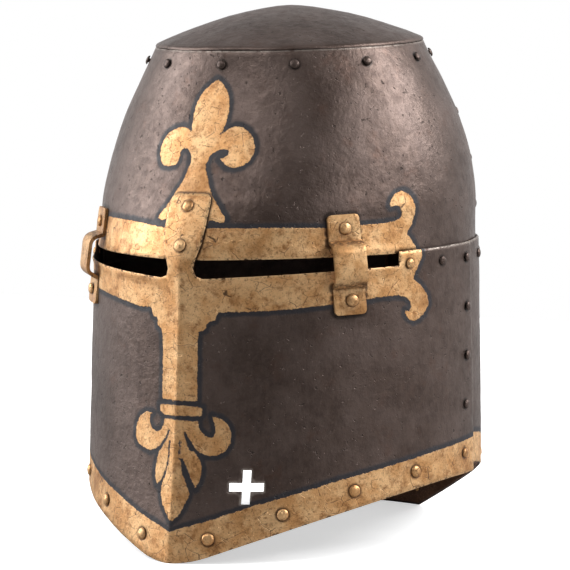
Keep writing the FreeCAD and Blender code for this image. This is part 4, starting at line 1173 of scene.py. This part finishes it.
lights = {                                    # place, width and height, power; each looks at the helm's middle
    "key light": ((-2.1, -0.75, 1.1), (1.3, 1.6), 52),
    "side light": ((1.5, 0.75, 1.45), (0.7, 1.2), 46),
    "right light": ((2.1, -0.35, 1.25), (0.8, 0.9), 17),
    "front light": ((-0.4, -1.7, 2.1), (0.9, 0.9), 17),
}
for name, (place, size, power) in lights.items():
    bpy.ops.object.light_add(type="AREA", location=place)
    lamp = bpy.context.object
    lamp.name, lamp.data.shape, lamp.data.energy = name, "RECTANGLE", power
    lamp.data.size, lamp.data.size_y = size
    lamp.rotation_euler = (Vector((0, 0, 0.17)) - Vector(place)).to_track_quat("-Z", "Y").to_euler()

# The world is white to the camera; elsewhere it darkens towards the front right and overhead, as in a studio
worldWay = {"high": 0.9, "fall": 0.86, "toward": (0.5, -0.866, 0.0), "turnFrom": (-0.4, 0.62),
            "overhead": (0.25, 0.85), "overheadFall": 0.6}
world = bpy.data.worlds.new("studio")
bpy.context.scene.world = world
world.use_nodes = True
world.node_tree.nodes.clear()
way = Wire(world.node_tree).node("TexCoord", None, None, 0)
toward = way.node("VectorMath", {"operation": "DOT_PRODUCT"}, {0: way, 1: worldWay["toward"]}, 1)
height = way.node("SeparateXYZ", None, {0: way}, 2)
level = (worldWay["high"] - toward.between(*worldWay["turnFrom"]) * worldWay["fall"]) \
    * (1 - height.between(*worldWay["overhead"]) * worldWay["overheadFall"])
seen = way.node("LightPath", None, None, 0)
glow = way.node("Background", None, {"Color": (1, 1, 1, 1), "Strength": seen.most(level)})
world.node_tree.links.new(glow.socket, world.node_tree.nodes.new("ShaderNodeOutputWorld").inputs[0])

cameraWay = {"place": (979.63, -1744.40, 349.17), "turn": 29.1316, "pitch": 5.2725, "roll": -0.3953,
             "lens": 190.29}
turn, pitch, roll = (math.radians(cameraWay[k]) for k in ("turn", "pitch", "roll"))
ahead = Vector((-math.sin(turn) * math.cos(pitch), math.cos(turn) * math.cos(pitch), -math.sin(pitch)))
right = Vector((math.cos(turn), math.sin(turn), 0))
above = right.cross(ahead)
right, above = right * math.cos(roll) + above * math.sin(roll), above * math.cos(roll) - right * math.sin(roll)
bpy.ops.object.camera_add()
camera = bpy.context.object
turned = Matrix((right, above, -ahead)).transposed().to_4x4()
camera.matrix_world = Matrix.Translation(Vector(cameraWay["place"]) * mm) @ turned
camera.data.lens, camera.data.sensor_width, camera.data.sensor_fit = cameraWay["lens"], 36, "HORIZONTAL"
camera.data.clip_start, camera.data.clip_end = 0.05, 30
bpy.context.scene.camera = camera
bpy.context.scene.view_settings.view_transform = "Standard"
